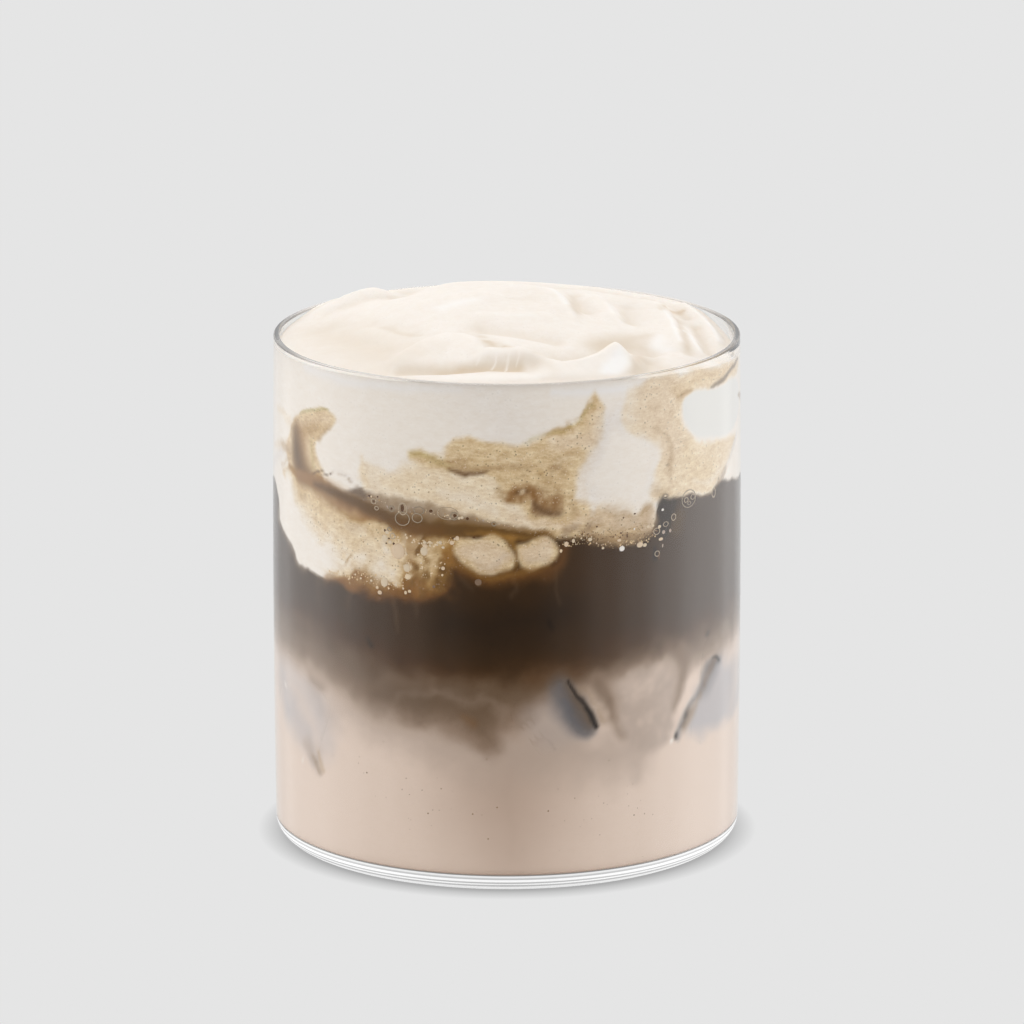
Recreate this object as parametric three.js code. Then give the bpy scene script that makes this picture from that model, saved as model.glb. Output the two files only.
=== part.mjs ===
// A hojicha latte in its glass: a nearly straight, thin-walled tumbler that holds sweet milk, a band of dark
// roasted tea and a thick head of soft whipped cream, which hangs into the tea and stands in a mound above
// the rim. Millimetres, +Z up. The origin is on the axis at the base, and the front of the drink faces -Y.

import * as THREE from 'three';

// Driving dimensions of the glass. Its wall bulges a little below the rim.
const RIM_RADIUS = 40;
const GLASS_HEIGHT = 88.2;
const WALL = 1.1;
const RIM_EDGE = 0.25;
const BULGE = 0.4;
const BULGE_HEIGHT = 38;
const BULGE_REACH = 50.2;
const FLOOR = 3.2;
const FOOT_RECESS = 0.6;
const FOOT_RECESS_RADIUS = 31;
const FOOT_INNER_RADIUS = 34.4;
const HEEL_RADIUS = 3.2;
const INNER_CORNER = 2.2;

// What is in the glass stays this far from it, and each layer this far from the next
const GAP = 0.3;
const FILLING_RADIUS = RIM_RADIUS - WALL - GAP;

// Facets: steps round the axis, steps in each small arc, rings across each face of a layer
const SEGMENTS = 64;
const ARC_STEPS = 4;
const WALL_STEPS = 6;
const LAYER_RINGS = 8;
const CREAM_RINGS = 24;

// Height of the milk's surface at the wall, as [azimuth in degrees, height]. Azimuth 0 is the front and 90 the
// right-hand side. The milk stands highest at the right, where it wells up between the ice.
const MILK_LEVEL = 33.6;
const MILK_AT_WALL = [
  [-88, 32.1], [-62, 33.0], [-35, 31.0], [-9, 31.2], [13, 35.4], [34, 39.0], [56, 39.1], [88, 35.3],
  [125, 33.2], [160, 35.6], [200, 34.4], [238, 31.4],
];

// Height of the cream's underside at the wall. It hangs lowest at the left of the front.
const CREAM_LEVEL = 58.5;
const CREAM_AT_WALL = [
  [-86, 63.9], [-75, 61.2], [-66, 54.2], [-54, 51.0], [-35, 50.2], [-14, 54.6], [4, 55.5], [14, 58.9],
  [34, 59.0], [45, 66.6], [57, 65.0], [77, 67.6], [92, 64.2],
  [118, 57.0], [142, 53.5], [168, 58.6], [196, 61.8], [222, 55.2], [248, 58.0],
];

// Where the cream's upper surface meets the wall, above the rim or below it
const CREAM_EDGE = [
  [0, -0.2], [25, -0.4], [50, -1.2], [70, -2.2], [92, -3.0], [108, -2.7], [122, -1.2],
  [140, -0.8], [165, -0.5], [190, 0.0], [212, 0.1], [228, 0.4], [238, 0.0], [248, -0.9],
  [265, -1.3], [290, -1.2], [330, -0.6],
];

// The mound of cream above the rim: its peak, and how full it is between the peak and the wall
const MOUND_PEAK = { x: -5, y: 4, height: 6.1 };
const MOUND_FULLNESS = 1.6;

// Folds of the cream. A fold is a ridge along its path, or a valley where its height is negative.
const FOLD_SHARPNESS = 1.5;
const FOLDS = {
  backLump: { path: [[-31, 14], [-26.5, 18], [-23.8, 19]], height: 1.3, width: 3.2 },
  backDip: { path: [[-17.5, 31], [-17, 23], [-18.5, 14]], height: -1.7, width: 3.1 },
  backCrease: { path: [[-31, 11], [-25, 14], [-19, 16.5]], height: -0.5, width: 1.6 },
  leftHollow: { path: [[-31, 2], [-27, -8], [-20, -18]], height: -1.9, width: 6.5 },
  leftCrease: { path: [[-23, -4], [-19.5, -8.5], [-16, -13]], height: -0.5, width: 2.3 },
  leftSwell: { path: [[-26, -4], [-22, -11], [-19, -18]], height: 0.45, width: 3.3 },
  centralLobe: {
    path: [[-18, -27], [-16.2, -23.2], [-13.6, -20.6], [-10.4, -19.8], [-7.6, -21], [-6, -23]],
    height: 1.35,
    width: 3.2,
  },
  lobeShadow: { path: [[-18, -31], [-10, -31.8], [-3, -31.6], [4, -33]], height: -1.5, width: 1.8 },
  frontLip: { path: [[-14, -36], [-5, -36.8], [4, -36.8], [12, -35.8]], height: 0.7, width: 2.1 },
  lobeBack: { path: [[-4, -14], [2, -16], [8, -18]], height: -1.5, width: 3.0 },
  tornPatch: { path: [[-2.5, -28], [1, -27], [4.5, -29]], height: 1.1, width: 2.3 },
  waveCrest: {
    path: [[2, -29.4], [6.4, -32], [9.4, -32.6], [12.2, -31], [15.2, -28.4], [18.4, -25]],
    height: 1.5,
    width: 2.4,
  },
  wavePeak: { path: [[18.3, -25], [20.6, -27.5], [20.4, -32]], height: 1.5, width: 2.0 },
  waveBack: { path: [[9, -26], [14, -23], [19, -19], [24, -17.5]], height: -1.6, width: 2.6 },
  waveSide: { path: [[23.8, -23], [23.8, -28], [22.5, -32]], height: -1.3, width: 1.8 },
  flap: { path: [[3, 7.5], [7.6, 7], [9.6, 2.6], [10.8, -2.5]], height: 1, width: 2.5 },
  flapFoot: { path: [[11.8, 9], [13, 0]], height: -0.8, width: 1.9 },
  innerRidge: { path: [[15.5, 9], [17.2, 5], [18.8, -1]], height: 0.8, width: 2.1 },
  innerFoot: { path: [[20.5, 8], [21.3, -2]], height: -0.5, width: 1.8 },
  middleRidge: { path: [[27, 12], [28.4, 4], [29.2, -5], [29.6, -11]], height: 1.2, width: 2.1 },
  backFold: { path: [[25, 22], [29, 18], [31, 13]], height: -0.9, width: 1.5 },
  topSwell: { path: [[-14, 0], [-9, 2], [-4, 2]], height: 0.4, width: 2.9 },
  rearSwirl: { path: [[-9, 31], [0, 31], [9, 31.5], [16, 31]], height: 0.25, width: 1.9 },
  rearHollow: { path: [[-12, 24], [-1, 24.5], [10, 25.5], [19, 24]], height: -1.3, width: 2.7 },
  rearTip: { path: [[-6, 17], [0, 14.5], [3, 10]], height: 0.35, width: 1.9 },
};

const radians = THREE.MathUtils.degToRad;

// A smooth closed curve through [azimuth, value] pairs, read at any azimuth in degrees
function aroundTheAxis(pairs, azimuth) {
  const count = pairs.length;
  const first = pairs[0][0];
  const turned = THREE.MathUtils.euclideanModulo(azimuth - first, 360) + first;
  const at = (index) => {
    const lap = Math.floor(index / count);
    const [angle, value] = pairs[index - lap * count];
    return [angle + 360 * lap, value];
  };
  let index = 0;
  while (at(index + 1)[0] <= turned) index += 1;
  const [before, start, end, after] = [at(index - 1), at(index), at(index + 1), at(index + 2)];
  const span = end[0] - start[0];
  const t = (turned - start[0]) / span;
  const startSlope = ((end[1] - before[1]) / (end[0] - before[0])) * span;
  const endSlope = ((after[1] - start[1]) / (after[0] - start[0])) * span;
  const rise = end[1] - start[1];
  const bend = startSlope + endSlope - 2 * rise;
  return start[1] + t * (startSlope + t * (rise - startSlope - bend + t * bend));
}

// How far the wall stands out at a height beyond its radius at the rim
function bulge(height) {
  const offset = (height - BULGE_HEIGHT) / BULGE_REACH;
  return BULGE * Math.max(0, 1 - offset * offset);
}

// A layer's surface: wavy at the wall, and calmer towards its mean level at the axis
function layerHeight(level, wallHeights, azimuth, radius) {
  const share = (radius / FILLING_RADIUS) ** 1.5;
  return level + (aroundTheAxis(wallHeights, azimuth) - level) * share;
}

const milkTop = (azimuth, radius) => layerHeight(MILK_LEVEL, MILK_AT_WALL, azimuth, radius);
const creamUnderside = (azimuth, radius) => layerHeight(CREAM_LEVEL, CREAM_AT_WALL, azimuth, radius);

function distanceToPath(path, x, y) {
  const point = new THREE.Vector3(x, y, 0);
  const nearest = new THREE.Vector3();
  let best = Infinity;
  for (let index = 1; index < path.length; index += 1) {
    const start = new THREE.Vector3(...path[index - 1], 0);
    const end = new THREE.Vector3(...path[index], 0);
    new THREE.Line3(start, end).closestPointToPoint(point, true, nearest);
    best = Math.min(best, nearest.distanceTo(point));
  }
  return best;
}

// The cream's upper surface: the mound, which falls from its peak to the wall, and the folds on it
function creamTop(azimuth, radius) {
  const x = radius * Math.sin(radians(azimuth));
  const y = -radius * Math.cos(radians(azimuth));
  const edge = aroundTheAxis(CREAM_EDGE, azimuth);
  const { x: peakX, y: peakY, height: peakHeight } = MOUND_PEAK;
  const offset = new THREE.Vector2(x - peakX, y - peakY);
  const along = offset.clone().normalize();
  const across = peakX * along.x + peakY * along.y;
  const inside = FILLING_RADIUS ** 2 - peakX ** 2 - peakY ** 2;
  const reach = -across + Math.sqrt(across ** 2 + inside);
  const fall = Math.min(offset.length() / reach, 1) ** MOUND_FULLNESS;
  const fade = 1 - (radius / FILLING_RADIUS) ** 12;
  let height = peakHeight + (edge - peakHeight) * fall;
  for (const fold of Object.values(FOLDS)) {
    const distance = distanceToPath(fold.path, x, y) / fold.width;
    height += fold.height * Math.exp(-(distance ** FOLD_SHARPNESS)) * fade;
  }
  return GLASS_HEIGHT + height;
}

// Evenly spaced radii from the axis to the wall of the filling, without either end
function innerRadii(rings) {
  return Array.from({ length: rings - 1 }, (_, index) => (FILLING_RADIUS * (index + 1)) / rings);
}

// The rows of one face of a layer from the axis to the wall, where height is a function of azimuth and radius
function faceRows(height, rings) {
  const row = (radius) => ({ radius, height: (azimuth) => height(azimuth, radius) });
  return [0, ...innerRadii(rings), FILLING_RADIUS].map(row);
}

// The flat bottom of the milk with its rounded corner, which follows the corner inside the glass
function milkBottomRows() {
  const bottom = FLOOR + GAP;
  const corner = INNER_CORNER - GAP;
  const cornerRadius = FILLING_RADIUS - corner;
  const flat = [0, cornerRadius / 3, (cornerRadius * 2) / 3].map((radius) => ({ radius, height: () => bottom }));
  const arc = Array.from({ length: ARC_STEPS + 1 }, (_, index) => {
    const angle = ((index / ARC_STEPS) * Math.PI) / 2;
    const height = bottom + corner * (1 - Math.cos(angle));
    return { radius: cornerRadius + corner * Math.sin(angle), height: () => height };
  });
  return [...flat, ...arc];
}

// A closed solid from rows that run from the lower pole out to the wall and back to the upper pole. Each row
// widens by its share of the wall's bulge.
function solidFromRows(rows) {
  const positions = [];
  const indices = [];
  const step = 360 / SEGMENTS;
  for (const { radius, height } of rows) {
    const corners = radius === 0 ? 1 : SEGMENTS;
    for (let index = 0; index < corners; index += 1) {
      const angle = radians(index * step);
      const z = height(index * step);
      const reach = radius + (bulge(z) * radius) / FILLING_RADIUS;
      positions.push(reach * Math.sin(angle), -reach * Math.cos(angle), z);
    }
  }
  const upperPole = positions.length / 3 - 1;
  const vertex = (row, index) => 1 + (row - 1) * SEGMENTS + (index % SEGMENTS);
  const lastRing = rows.length - 2;
  for (let index = 0; index < SEGMENTS; index += 1) {
    indices.push(0, vertex(1, index + 1), vertex(1, index));
    for (let row = 1; row < lastRing; row += 1) {
      const lower = [vertex(row, index), vertex(row, index + 1)];
      const upper = [vertex(row + 1, index), vertex(row + 1, index + 1)];
      indices.push(lower[0], lower[1], upper[1], lower[0], upper[1], upper[0]);
    }
    indices.push(vertex(lastRing, index), vertex(lastRing, index + 1), upperPole);
  }
  const geometry = new THREE.BufferGeometry();
  geometry.setAttribute('position', new THREE.Float32BufferAttribute(positions, 3));
  geometry.setIndex(indices);
  geometry.computeVertexNormals();
  return geometry;
}

const raised = (height) => (azimuth, radius) => height(azimuth, radius) + GAP;

// Points on an arc of the glass's section, from one angle to another, both ends among them
function arcPoints(centreRadius, centreHeight, radius, fromDegrees, toDegrees) {
  return Array.from({ length: ARC_STEPS + 1 }, (_, index) => {
    const angle = radians(fromDegrees + ((toDegrees - fromDegrees) * index) / ARC_STEPS);
    return new THREE.Vector2(centreRadius + radius * Math.cos(angle), centreHeight + radius * Math.sin(angle));
  });
}

// Points up the wall between the heel and the rim, where radius is the face's radius at the rim
function wallPoints(radius, lowest, highest) {
  return Array.from({ length: WALL_STEPS - 1 }, (_, index) => {
    const height = lowest + ((highest - lowest) * (index + 1)) / WALL_STEPS;
    return new THREE.Vector2(radius + bulge(height), height);
  });
}

// The tumbler: a foot ring round a shallow recess, a rounded heel, a slightly bulging wall and a cut rim
function glassGeometry() {
  const innerRadius = RIM_RADIUS - WALL;
  const heelRadius = RIM_RADIUS + bulge(HEEL_RADIUS) - HEEL_RADIUS;
  const cornerHeight = FLOOR + INNER_CORNER;
  const cornerRadius = innerRadius + bulge(cornerHeight) - INNER_CORNER;
  const rimHeight = GLASS_HEIGHT - RIM_EDGE;
  const profile = [
    new THREE.Vector2(0, FOOT_RECESS),
    new THREE.Vector2(FOOT_RECESS_RADIUS, FOOT_RECESS),
    new THREE.Vector2(FOOT_INNER_RADIUS, 0),
    ...arcPoints(heelRadius, HEEL_RADIUS, HEEL_RADIUS, -90, 0),
    ...wallPoints(RIM_RADIUS, HEEL_RADIUS, rimHeight),
    ...arcPoints(RIM_RADIUS - RIM_EDGE, rimHeight, RIM_EDGE, 0, 90),
    ...arcPoints(innerRadius + RIM_EDGE, rimHeight, RIM_EDGE, 90, 180),
    ...wallPoints(innerRadius, cornerHeight, rimHeight).reverse(),
    ...arcPoints(cornerRadius, cornerHeight, INNER_CORNER, 0, -90),
    new THREE.Vector2(0, FLOOR),
  ];
  return new THREE.LatheGeometry(profile, SEGMENTS).rotateX(Math.PI / 2);
}

function milkGeometry() {
  const top = faceRows(milkTop, LAYER_RINGS).reverse();
  return solidFromRows([...milkBottomRows(), ...top]);
}

function teaGeometry() {
  const bottom = faceRows(raised(milkTop), LAYER_RINGS);
  const top = faceRows(creamUnderside, LAYER_RINGS).reverse();
  return solidFromRows([...bottom, ...top]);
}

function creamGeometry() {
  const bottom = faceRows(raised(creamUnderside), LAYER_RINGS);
  const top = faceRows(creamTop, CREAM_RINGS).reverse();
  return solidFromRows([...bottom, ...top]);
}

const clearGlass = new THREE.MeshStandardMaterial({
  color: 0xe9eef0, roughness: 0.04, metalness: 0, transparent: true, opacity: 0.3,
});
const paleMilk = new THREE.MeshStandardMaterial({ color: 0xdcc5b4, roughness: 0.4, metalness: 0 });
const roastedTea = new THREE.MeshStandardMaterial({ color: 0x3b2b22, roughness: 0.2, metalness: 0 });
const whippedCream = new THREE.MeshStandardMaterial({ color: 0xf1e8dd, roughness: 0.55, metalness: 0 });

function namedMesh(name, geometry, material) {
  const mesh = new THREE.Mesh(geometry, material);
  mesh.name = name;
  return mesh;
}

const latte = new THREE.Group();
latte.add(
  namedMesh('glass', glassGeometry(), clearGlass),
  namedMesh('milk', milkGeometry(), paleMilk),
  namedMesh('tea', teaGeometry(), roastedTea),
  namedMesh('cream', creamGeometry(), whippedCream),
);

export default latte;
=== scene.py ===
"""A hojicha latte in a straight thin-walled tumbler: its glass, milk, tea and whipped cream, with the ice,
bubbles and tea powder that show through the wall, on a plain studio floor. Lengths are in millimetres until
a piece is finished, and its mesh is then scaled to metres."""

import math

import bmesh
import bpy
import numpy as np
from bpy.props import FloatProperty, FloatVectorProperty, IntProperty, PointerProperty
from mathutils import Matrix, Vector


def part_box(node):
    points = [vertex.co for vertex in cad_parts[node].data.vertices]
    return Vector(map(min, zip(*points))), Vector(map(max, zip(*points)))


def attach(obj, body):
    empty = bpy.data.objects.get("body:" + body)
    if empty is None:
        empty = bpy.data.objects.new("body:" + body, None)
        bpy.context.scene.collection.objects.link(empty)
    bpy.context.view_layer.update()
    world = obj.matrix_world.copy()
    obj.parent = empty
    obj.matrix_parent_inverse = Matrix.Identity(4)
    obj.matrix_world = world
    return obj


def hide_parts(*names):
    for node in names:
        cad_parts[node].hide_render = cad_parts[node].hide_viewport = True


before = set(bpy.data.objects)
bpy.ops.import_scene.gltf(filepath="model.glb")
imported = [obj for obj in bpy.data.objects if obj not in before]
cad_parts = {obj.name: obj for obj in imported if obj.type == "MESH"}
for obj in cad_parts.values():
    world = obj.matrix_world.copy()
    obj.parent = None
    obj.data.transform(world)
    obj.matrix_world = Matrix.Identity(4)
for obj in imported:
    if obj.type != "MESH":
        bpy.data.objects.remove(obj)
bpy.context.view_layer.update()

bl_info = {
    "name": "Layered Latte",
    "version": (1, 0, 0),
    "blender": (4, 5, 0),
    "location": "View3D > Sidebar > Latte",
    "description": "Builds a layered iced latte in its glass",
    "category": "Add Mesh",
}

MM = 0.001
GLASS_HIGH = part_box("glass")[1]
GLASS_HEIGHT = GLASS_HIGH[2] / MM

# The wall bulges a little below the rim, most at a height of BULGE_HEIGHT
BULGE = 0.4
BULGE_HEIGHT = 38
BULGE_REACH = 50.2
RIM_RADIUS = GLASS_HIGH[0] / MM - BULGE
WALL = 1.1
FLOOR = 3.2

# How far the drink reaches into the glass, so that no air gap shows, the radius of its skin at the rim, and
# the way once round it
REACH = 0.15
SKIN_RADIUS = RIM_RADIUS - WALL + REACH
ONCE_ROUND = math.tau * SKIN_RADIUS

BODY = "root"
SEED = 4
SHARP = math.radians(55)
MERGE = 1e-4
TINY = 1e-12

# Heights of the milk's surface and of the cream's underside at the wall, as (azimuth in degrees, height)
MILK_LEVEL = 33.6
MILK_AT_WALL = [
    (-88, 32.1), (-62, 33), (-35, 31), (-9, 31.2), (13, 35.4), (34, 39), (56, 39.1), (88, 35.3),
    (125, 33.2), (160, 35.6), (200, 34.4), (238, 31.4),
]
CREAM_LEVEL = 58.5
CREAM_AT_WALL = [
    (-86, 63.9), (-75, 61.2), (-66, 54.2), (-54, 51), (-35, 50.2), (-14, 54.6), (4, 55.5), (14, 58.9),
    (34, 59), (45, 66.6), (57, 65), (77, 67.6), (92, 64.2),
    (118, 57), (142, 53.5), (168, 58.6), (196, 61.8), (222, 55.2), (248, 58),
]

# How fast these waves calm down from the wall to the axis
CALMING = 1.5

# Where the cream's upper surface meets the wall, above the rim or below it, and the mound's peak as (x, y,
# height above the rim)
CREAM_EDGE = [
    (0, -0.2), (25, -0.4), (50, -1.2), (70, -2.2), (92, -3), (108, -2.1), (122, -0.4), (140, -0.1),
    (165, -0.2), (190, 0), (212, 0.1), (228, 0.4), (238, 0), (248, -0.9), (265, -1.3), (290, -1.2),
    (330, -0.6),
]
MOUND_PEAK = (-5, 4, 6.1)
MOUND_FULLNESS = 1.6

# Folds of the cream, as path, height, and the widths to the left and right of the path: a ridge, or a valley
# where the height is negative. They are rounded at their tops, and fade out at the wall.
FOLD_SHARPNESS = 1.5
FOLD_ROUNDING = 0.25
FOLD_SIDE_BLEND = 0.6
FOLD_FADE = 12
FOLDS = {
    "back lump": ([(-31, 14), (-26.5, 18), (-23.8, 19)], 1.3, 3.4, 3),
    "back dip": ([(-17.5, 31), (-17, 23), (-18.5, 14)], -1.7, 3.2, 3),
    "back crease": ([(-31, 11), (-25, 14), (-19, 16.5)], -0.5, 1, 2.2),
    "left hollow": ([(-31, 2), (-27, -8), (-20, -18)], -1.9, 6.5, 6.5),
    "left crease": ([(-23, -4), (-19.5, -8.5), (-16, -13)], -0.5, 3, 1.6),
    "left swell": ([(-26, -4), (-22, -11), (-19, -18)], 0.45, 2.6, 4),
    "central lobe": (
        [(-18, -27), (-16.2, -23.2), (-13.6, -20.6), (-10.4, -19.8), (-7.6, -21), (-6, -23)], 1.35, 1.8, 4.6
    ),
    "lobe shadow": ([(-18, -31), (-10, -31.8), (-3, -31.6), (4, -33)], -1.5, 1.8, 1.8),
    "front lip": ([(-14, -36), (-5, -36.8), (4, -36.8), (12, -35.8)], 0.7, 1.8, 2.4),
    "lobe back": ([(-4, -14), (2, -16), (8, -18)], -1.5, 3, 3),
    "torn patch": ([(-2.5, -28), (1, -27), (4.5, -29)], 1.1, 1.6, 3),
    "wave crest": (
        [(2, -29.4), (6.4, -32), (9.4, -32.6), (12.2, -31), (15.2, -28.4), (18.4, -25)], 1.5, 1.3, 3.4
    ),
    "wave peak": ([(18.3, -25), (20.6, -27.5), (20.4, -32)], 1.5, 1.1, 3),
    "wave back": ([(9, -26), (14, -23), (19, -19), (24, -17.5)], -1.6, 3.5, 1.8),
    "wave side": ([(23.8, -23), (23.8, -28), (22.5, -32)], -1.3, 2.2, 1.4),
    "flap": ([(3, 7.5), (7.6, 7), (9.6, 2.6), (10.8, -2.5)], 1, 0.9, 4),
    "flap foot": ([(11.8, 9), (13, 0)], -0.8, 2.6, 1.2),
    "inner ridge": ([(15.5, 9), (17.2, 5), (18.8, -1)], 0.8, 1, 3.2),
    "inner foot": ([(20.5, 8), (21.3, -2)], -0.5, 2.2, 1.3),
    "middle ridge": ([(27, 12), (28.4, 4), (29.2, -5), (29.6, -11)], 1.2, 0.9, 3.4),
    "middle foot": ([(29.6, 9), (30.4, -1)], -0.7, 1, 0.9),
    "outer ridge": ([(30.2, 4), (31.6, -5), (33, -12)], 1, 1, 1.2),
    "outer foot": ([(32.6, 8), (34, -4), (34.6, -11)], -1, 1.2, 1),
    "wall ridge": ([(31, 19), (34, 14), (35.6, 8), (36.6, 1)], 1.3, 0.8, 1.4),
    "back fold": ([(25, 22), (29, 18), (31, 13)], -0.9, 1, 2),
    "top line": ([(-4, -8.6), (0, -9.2), (6, -8)], 0.3, 0.8, 1.6),
    "top swell": ([(-14, 0), (-9, 2), (-4, 2)], 0.4, 2.2, 3.5),
    "rear swirl": ([(-9, 31), (0, 31), (9, 31.5), (16, 31)], 0.25, 1.2, 2.5),
    "rear hollow": ([(-12, 24), (-1, 24.5), (10, 25.5), (19, 24)], -1.3, 2, 3.4),
    "rear tip": ([(-6, 17), (0, 14.5), (3, 10)], 0.35, 1.2, 2.6),
}


def drink_colour(name, red, green, blue):
    return FloatVectorProperty(
        name=name, description="Colour painted on the drink", subtype="COLOR", min=0, max=1,
        default=(red, green, blue),
    )


class ColourSettings(bpy.types.PropertyGroup):
    cream: drink_colour("Cream", 0.93, 0.845, 0.755)
    white: drink_colour("White", 0.95, 0.885, 0.82)
    cool_white: drink_colour("Cool white", 0.83, 0.81, 0.77)
    shaded_cream: drink_colour("Shaded cream", 0.8, 0.73, 0.68)
    pale_tan: drink_colour("Pale tan", 0.82, 0.645, 0.435)
    tan: drink_colour("Tan", 0.71, 0.515, 0.29)
    brown_tan: drink_colour("Brown tan", 0.46, 0.3, 0.155)
    pink_tan: drink_colour("Pink tan", 0.76, 0.585, 0.41)
    olive: drink_colour("Olive", 0.44, 0.32, 0.1)
    golden: drink_colour("Golden", 0.36, 0.18, 0.045)
    amber: drink_colour("Amber", 0.25, 0.105, 0.022)
    umber: drink_colour("Umber", 0.21, 0.085, 0.022)
    bark: drink_colour("Bark", 0.13, 0.065, 0.03)
    grey_brown: drink_colour("Grey brown", 0.33, 0.22, 0.135)
    tea: drink_colour("Tea", 0.048, 0.025, 0.01)
    dark_tea: drink_colour("Dark tea", 0.028, 0.016, 0.009)
    red_tea: drink_colour("Red tea", 0.075, 0.033, 0.012)
    cloud: drink_colour("Cloud", 0.145, 0.09, 0.053)
    light_cloud: drink_colour("Light cloud", 0.25, 0.165, 0.11)
    beige: drink_colour("Beige", 0.48, 0.37, 0.3)
    milk: drink_colour("Milk", 0.8, 0.635, 0.525)
    deep_milk: drink_colour("Deep milk", 0.5, 0.365, 0.285)
    grey_milk: drink_colour("Grey milk", 0.43, 0.355, 0.315)
    ice: drink_colour("Ice", 0.46, 0.43, 0.44)
    ice_shade: drink_colour("Ice shade", 0.135, 0.128, 0.135)
    black: drink_colour("Black", 0.015, 0.009, 0.006)
    # painted shade: the cream's colour in the hollows and shadowed slopes of its top
    hollow_cream: drink_colour("Painted shade cream", 0.76, 0.655, 0.535)
    # painted shadow: the darkest shade in the cream's creases and under its lobe
    brown_cream: drink_colour("Painted shadow cream", 0.62, 0.46, 0.29)
    lit_cream: drink_colour("Lit cream", 0.955, 0.895, 0.83)
    # painted highlight: the brightest lit facets and crests of the cream's top
    facet_white: drink_colour("Painted highlight white", 0.96, 0.93, 0.9)
    open_cream: drink_colour("Open cream", 0.895, 0.825, 0.75)
    # painted reflection: the pale band just under the rim at the front
    rim_white: drink_colour("Painted rim reflection", 0.93, 0.9, 0.895)
    bead_cream: drink_colour("Bead cream", 0.74, 0.6, 0.43)
    current: drink_colour("Current", 0.128, 0.064, 0.02)
    pale_current: drink_colour("Pale current", 0.33, 0.175, 0.075)
    grey_foam: drink_colour("Grey foam", 0.275, 0.175, 0.095)
    film: drink_colour("Film", 0.52, 0.41, 0.29)
    grey_film: drink_colour("Grey film", 0.36, 0.29, 0.21)
    dull_film: drink_colour("Dull film", 0.44, 0.35, 0.25)

# How coarse the froth looks where each colour is painted
FROTH = {
    "pale tan": 0.75, "tan": 1, "brown tan": 1, "pink tan": 0.75, "olive": 0.7, "golden": 0.55, "amber": 0.5,
    "grey brown": 0.9, "umber": 0.2, "cream": 0.12, "open cream": 0.12, "white": 0.05, "shaded cream": 0.3,
    "milk": 0.05,
}

# Colours are mixed as gamma values. The markings' edges wander by noise of a (scale, octaves, shift) of its
# own, and so do the patches in them. WANDER_REACH is how far an edge can wander for each unit of ragged.
GAMMA = 1 / 2.2
WANDER = 0.9
WANDER_X = (3.6, 4, 3)
WANDER_Y = (3.6, 4, 19)
WANDER_REACH = 2.2
PATCHES = (1.4, 2, 31)
PATCH_CONTRAST = 1.6
PATCH_LEVEL = 0.6

# Each octave of noise is finer by OCTAVE_STEP, weaker by OCTAVE_FALL and moved along by OCTAVE_SHIFT
OCTAVE_STEP = 2.1
OCTAVE_FALL = 0.5
OCTAVE_SHIFT = 7.3


def above(colour, points, cover=1, soft=0.5, ragged=0.5, mottle=0):
    """A marking over everything higher than a curve of (place round the wall, height) points."""
    return "above", colour, points, cover, soft, ragged, mottle


def area(colour, points, cover=1, soft=0.5, ragged=0.5, mottle=0):
    """A marking inside a rounded outline of (place round the wall, height) points."""
    return "area", colour, points, cover, soft, ragged, mottle


def band(colour, points, cover=1, soft=0.4, ragged=0.5, mottle=0):
    """A marking along a path of (place round the wall, height, half width) points."""
    return "band", colour, points, cover, soft, ragged, mottle


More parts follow.
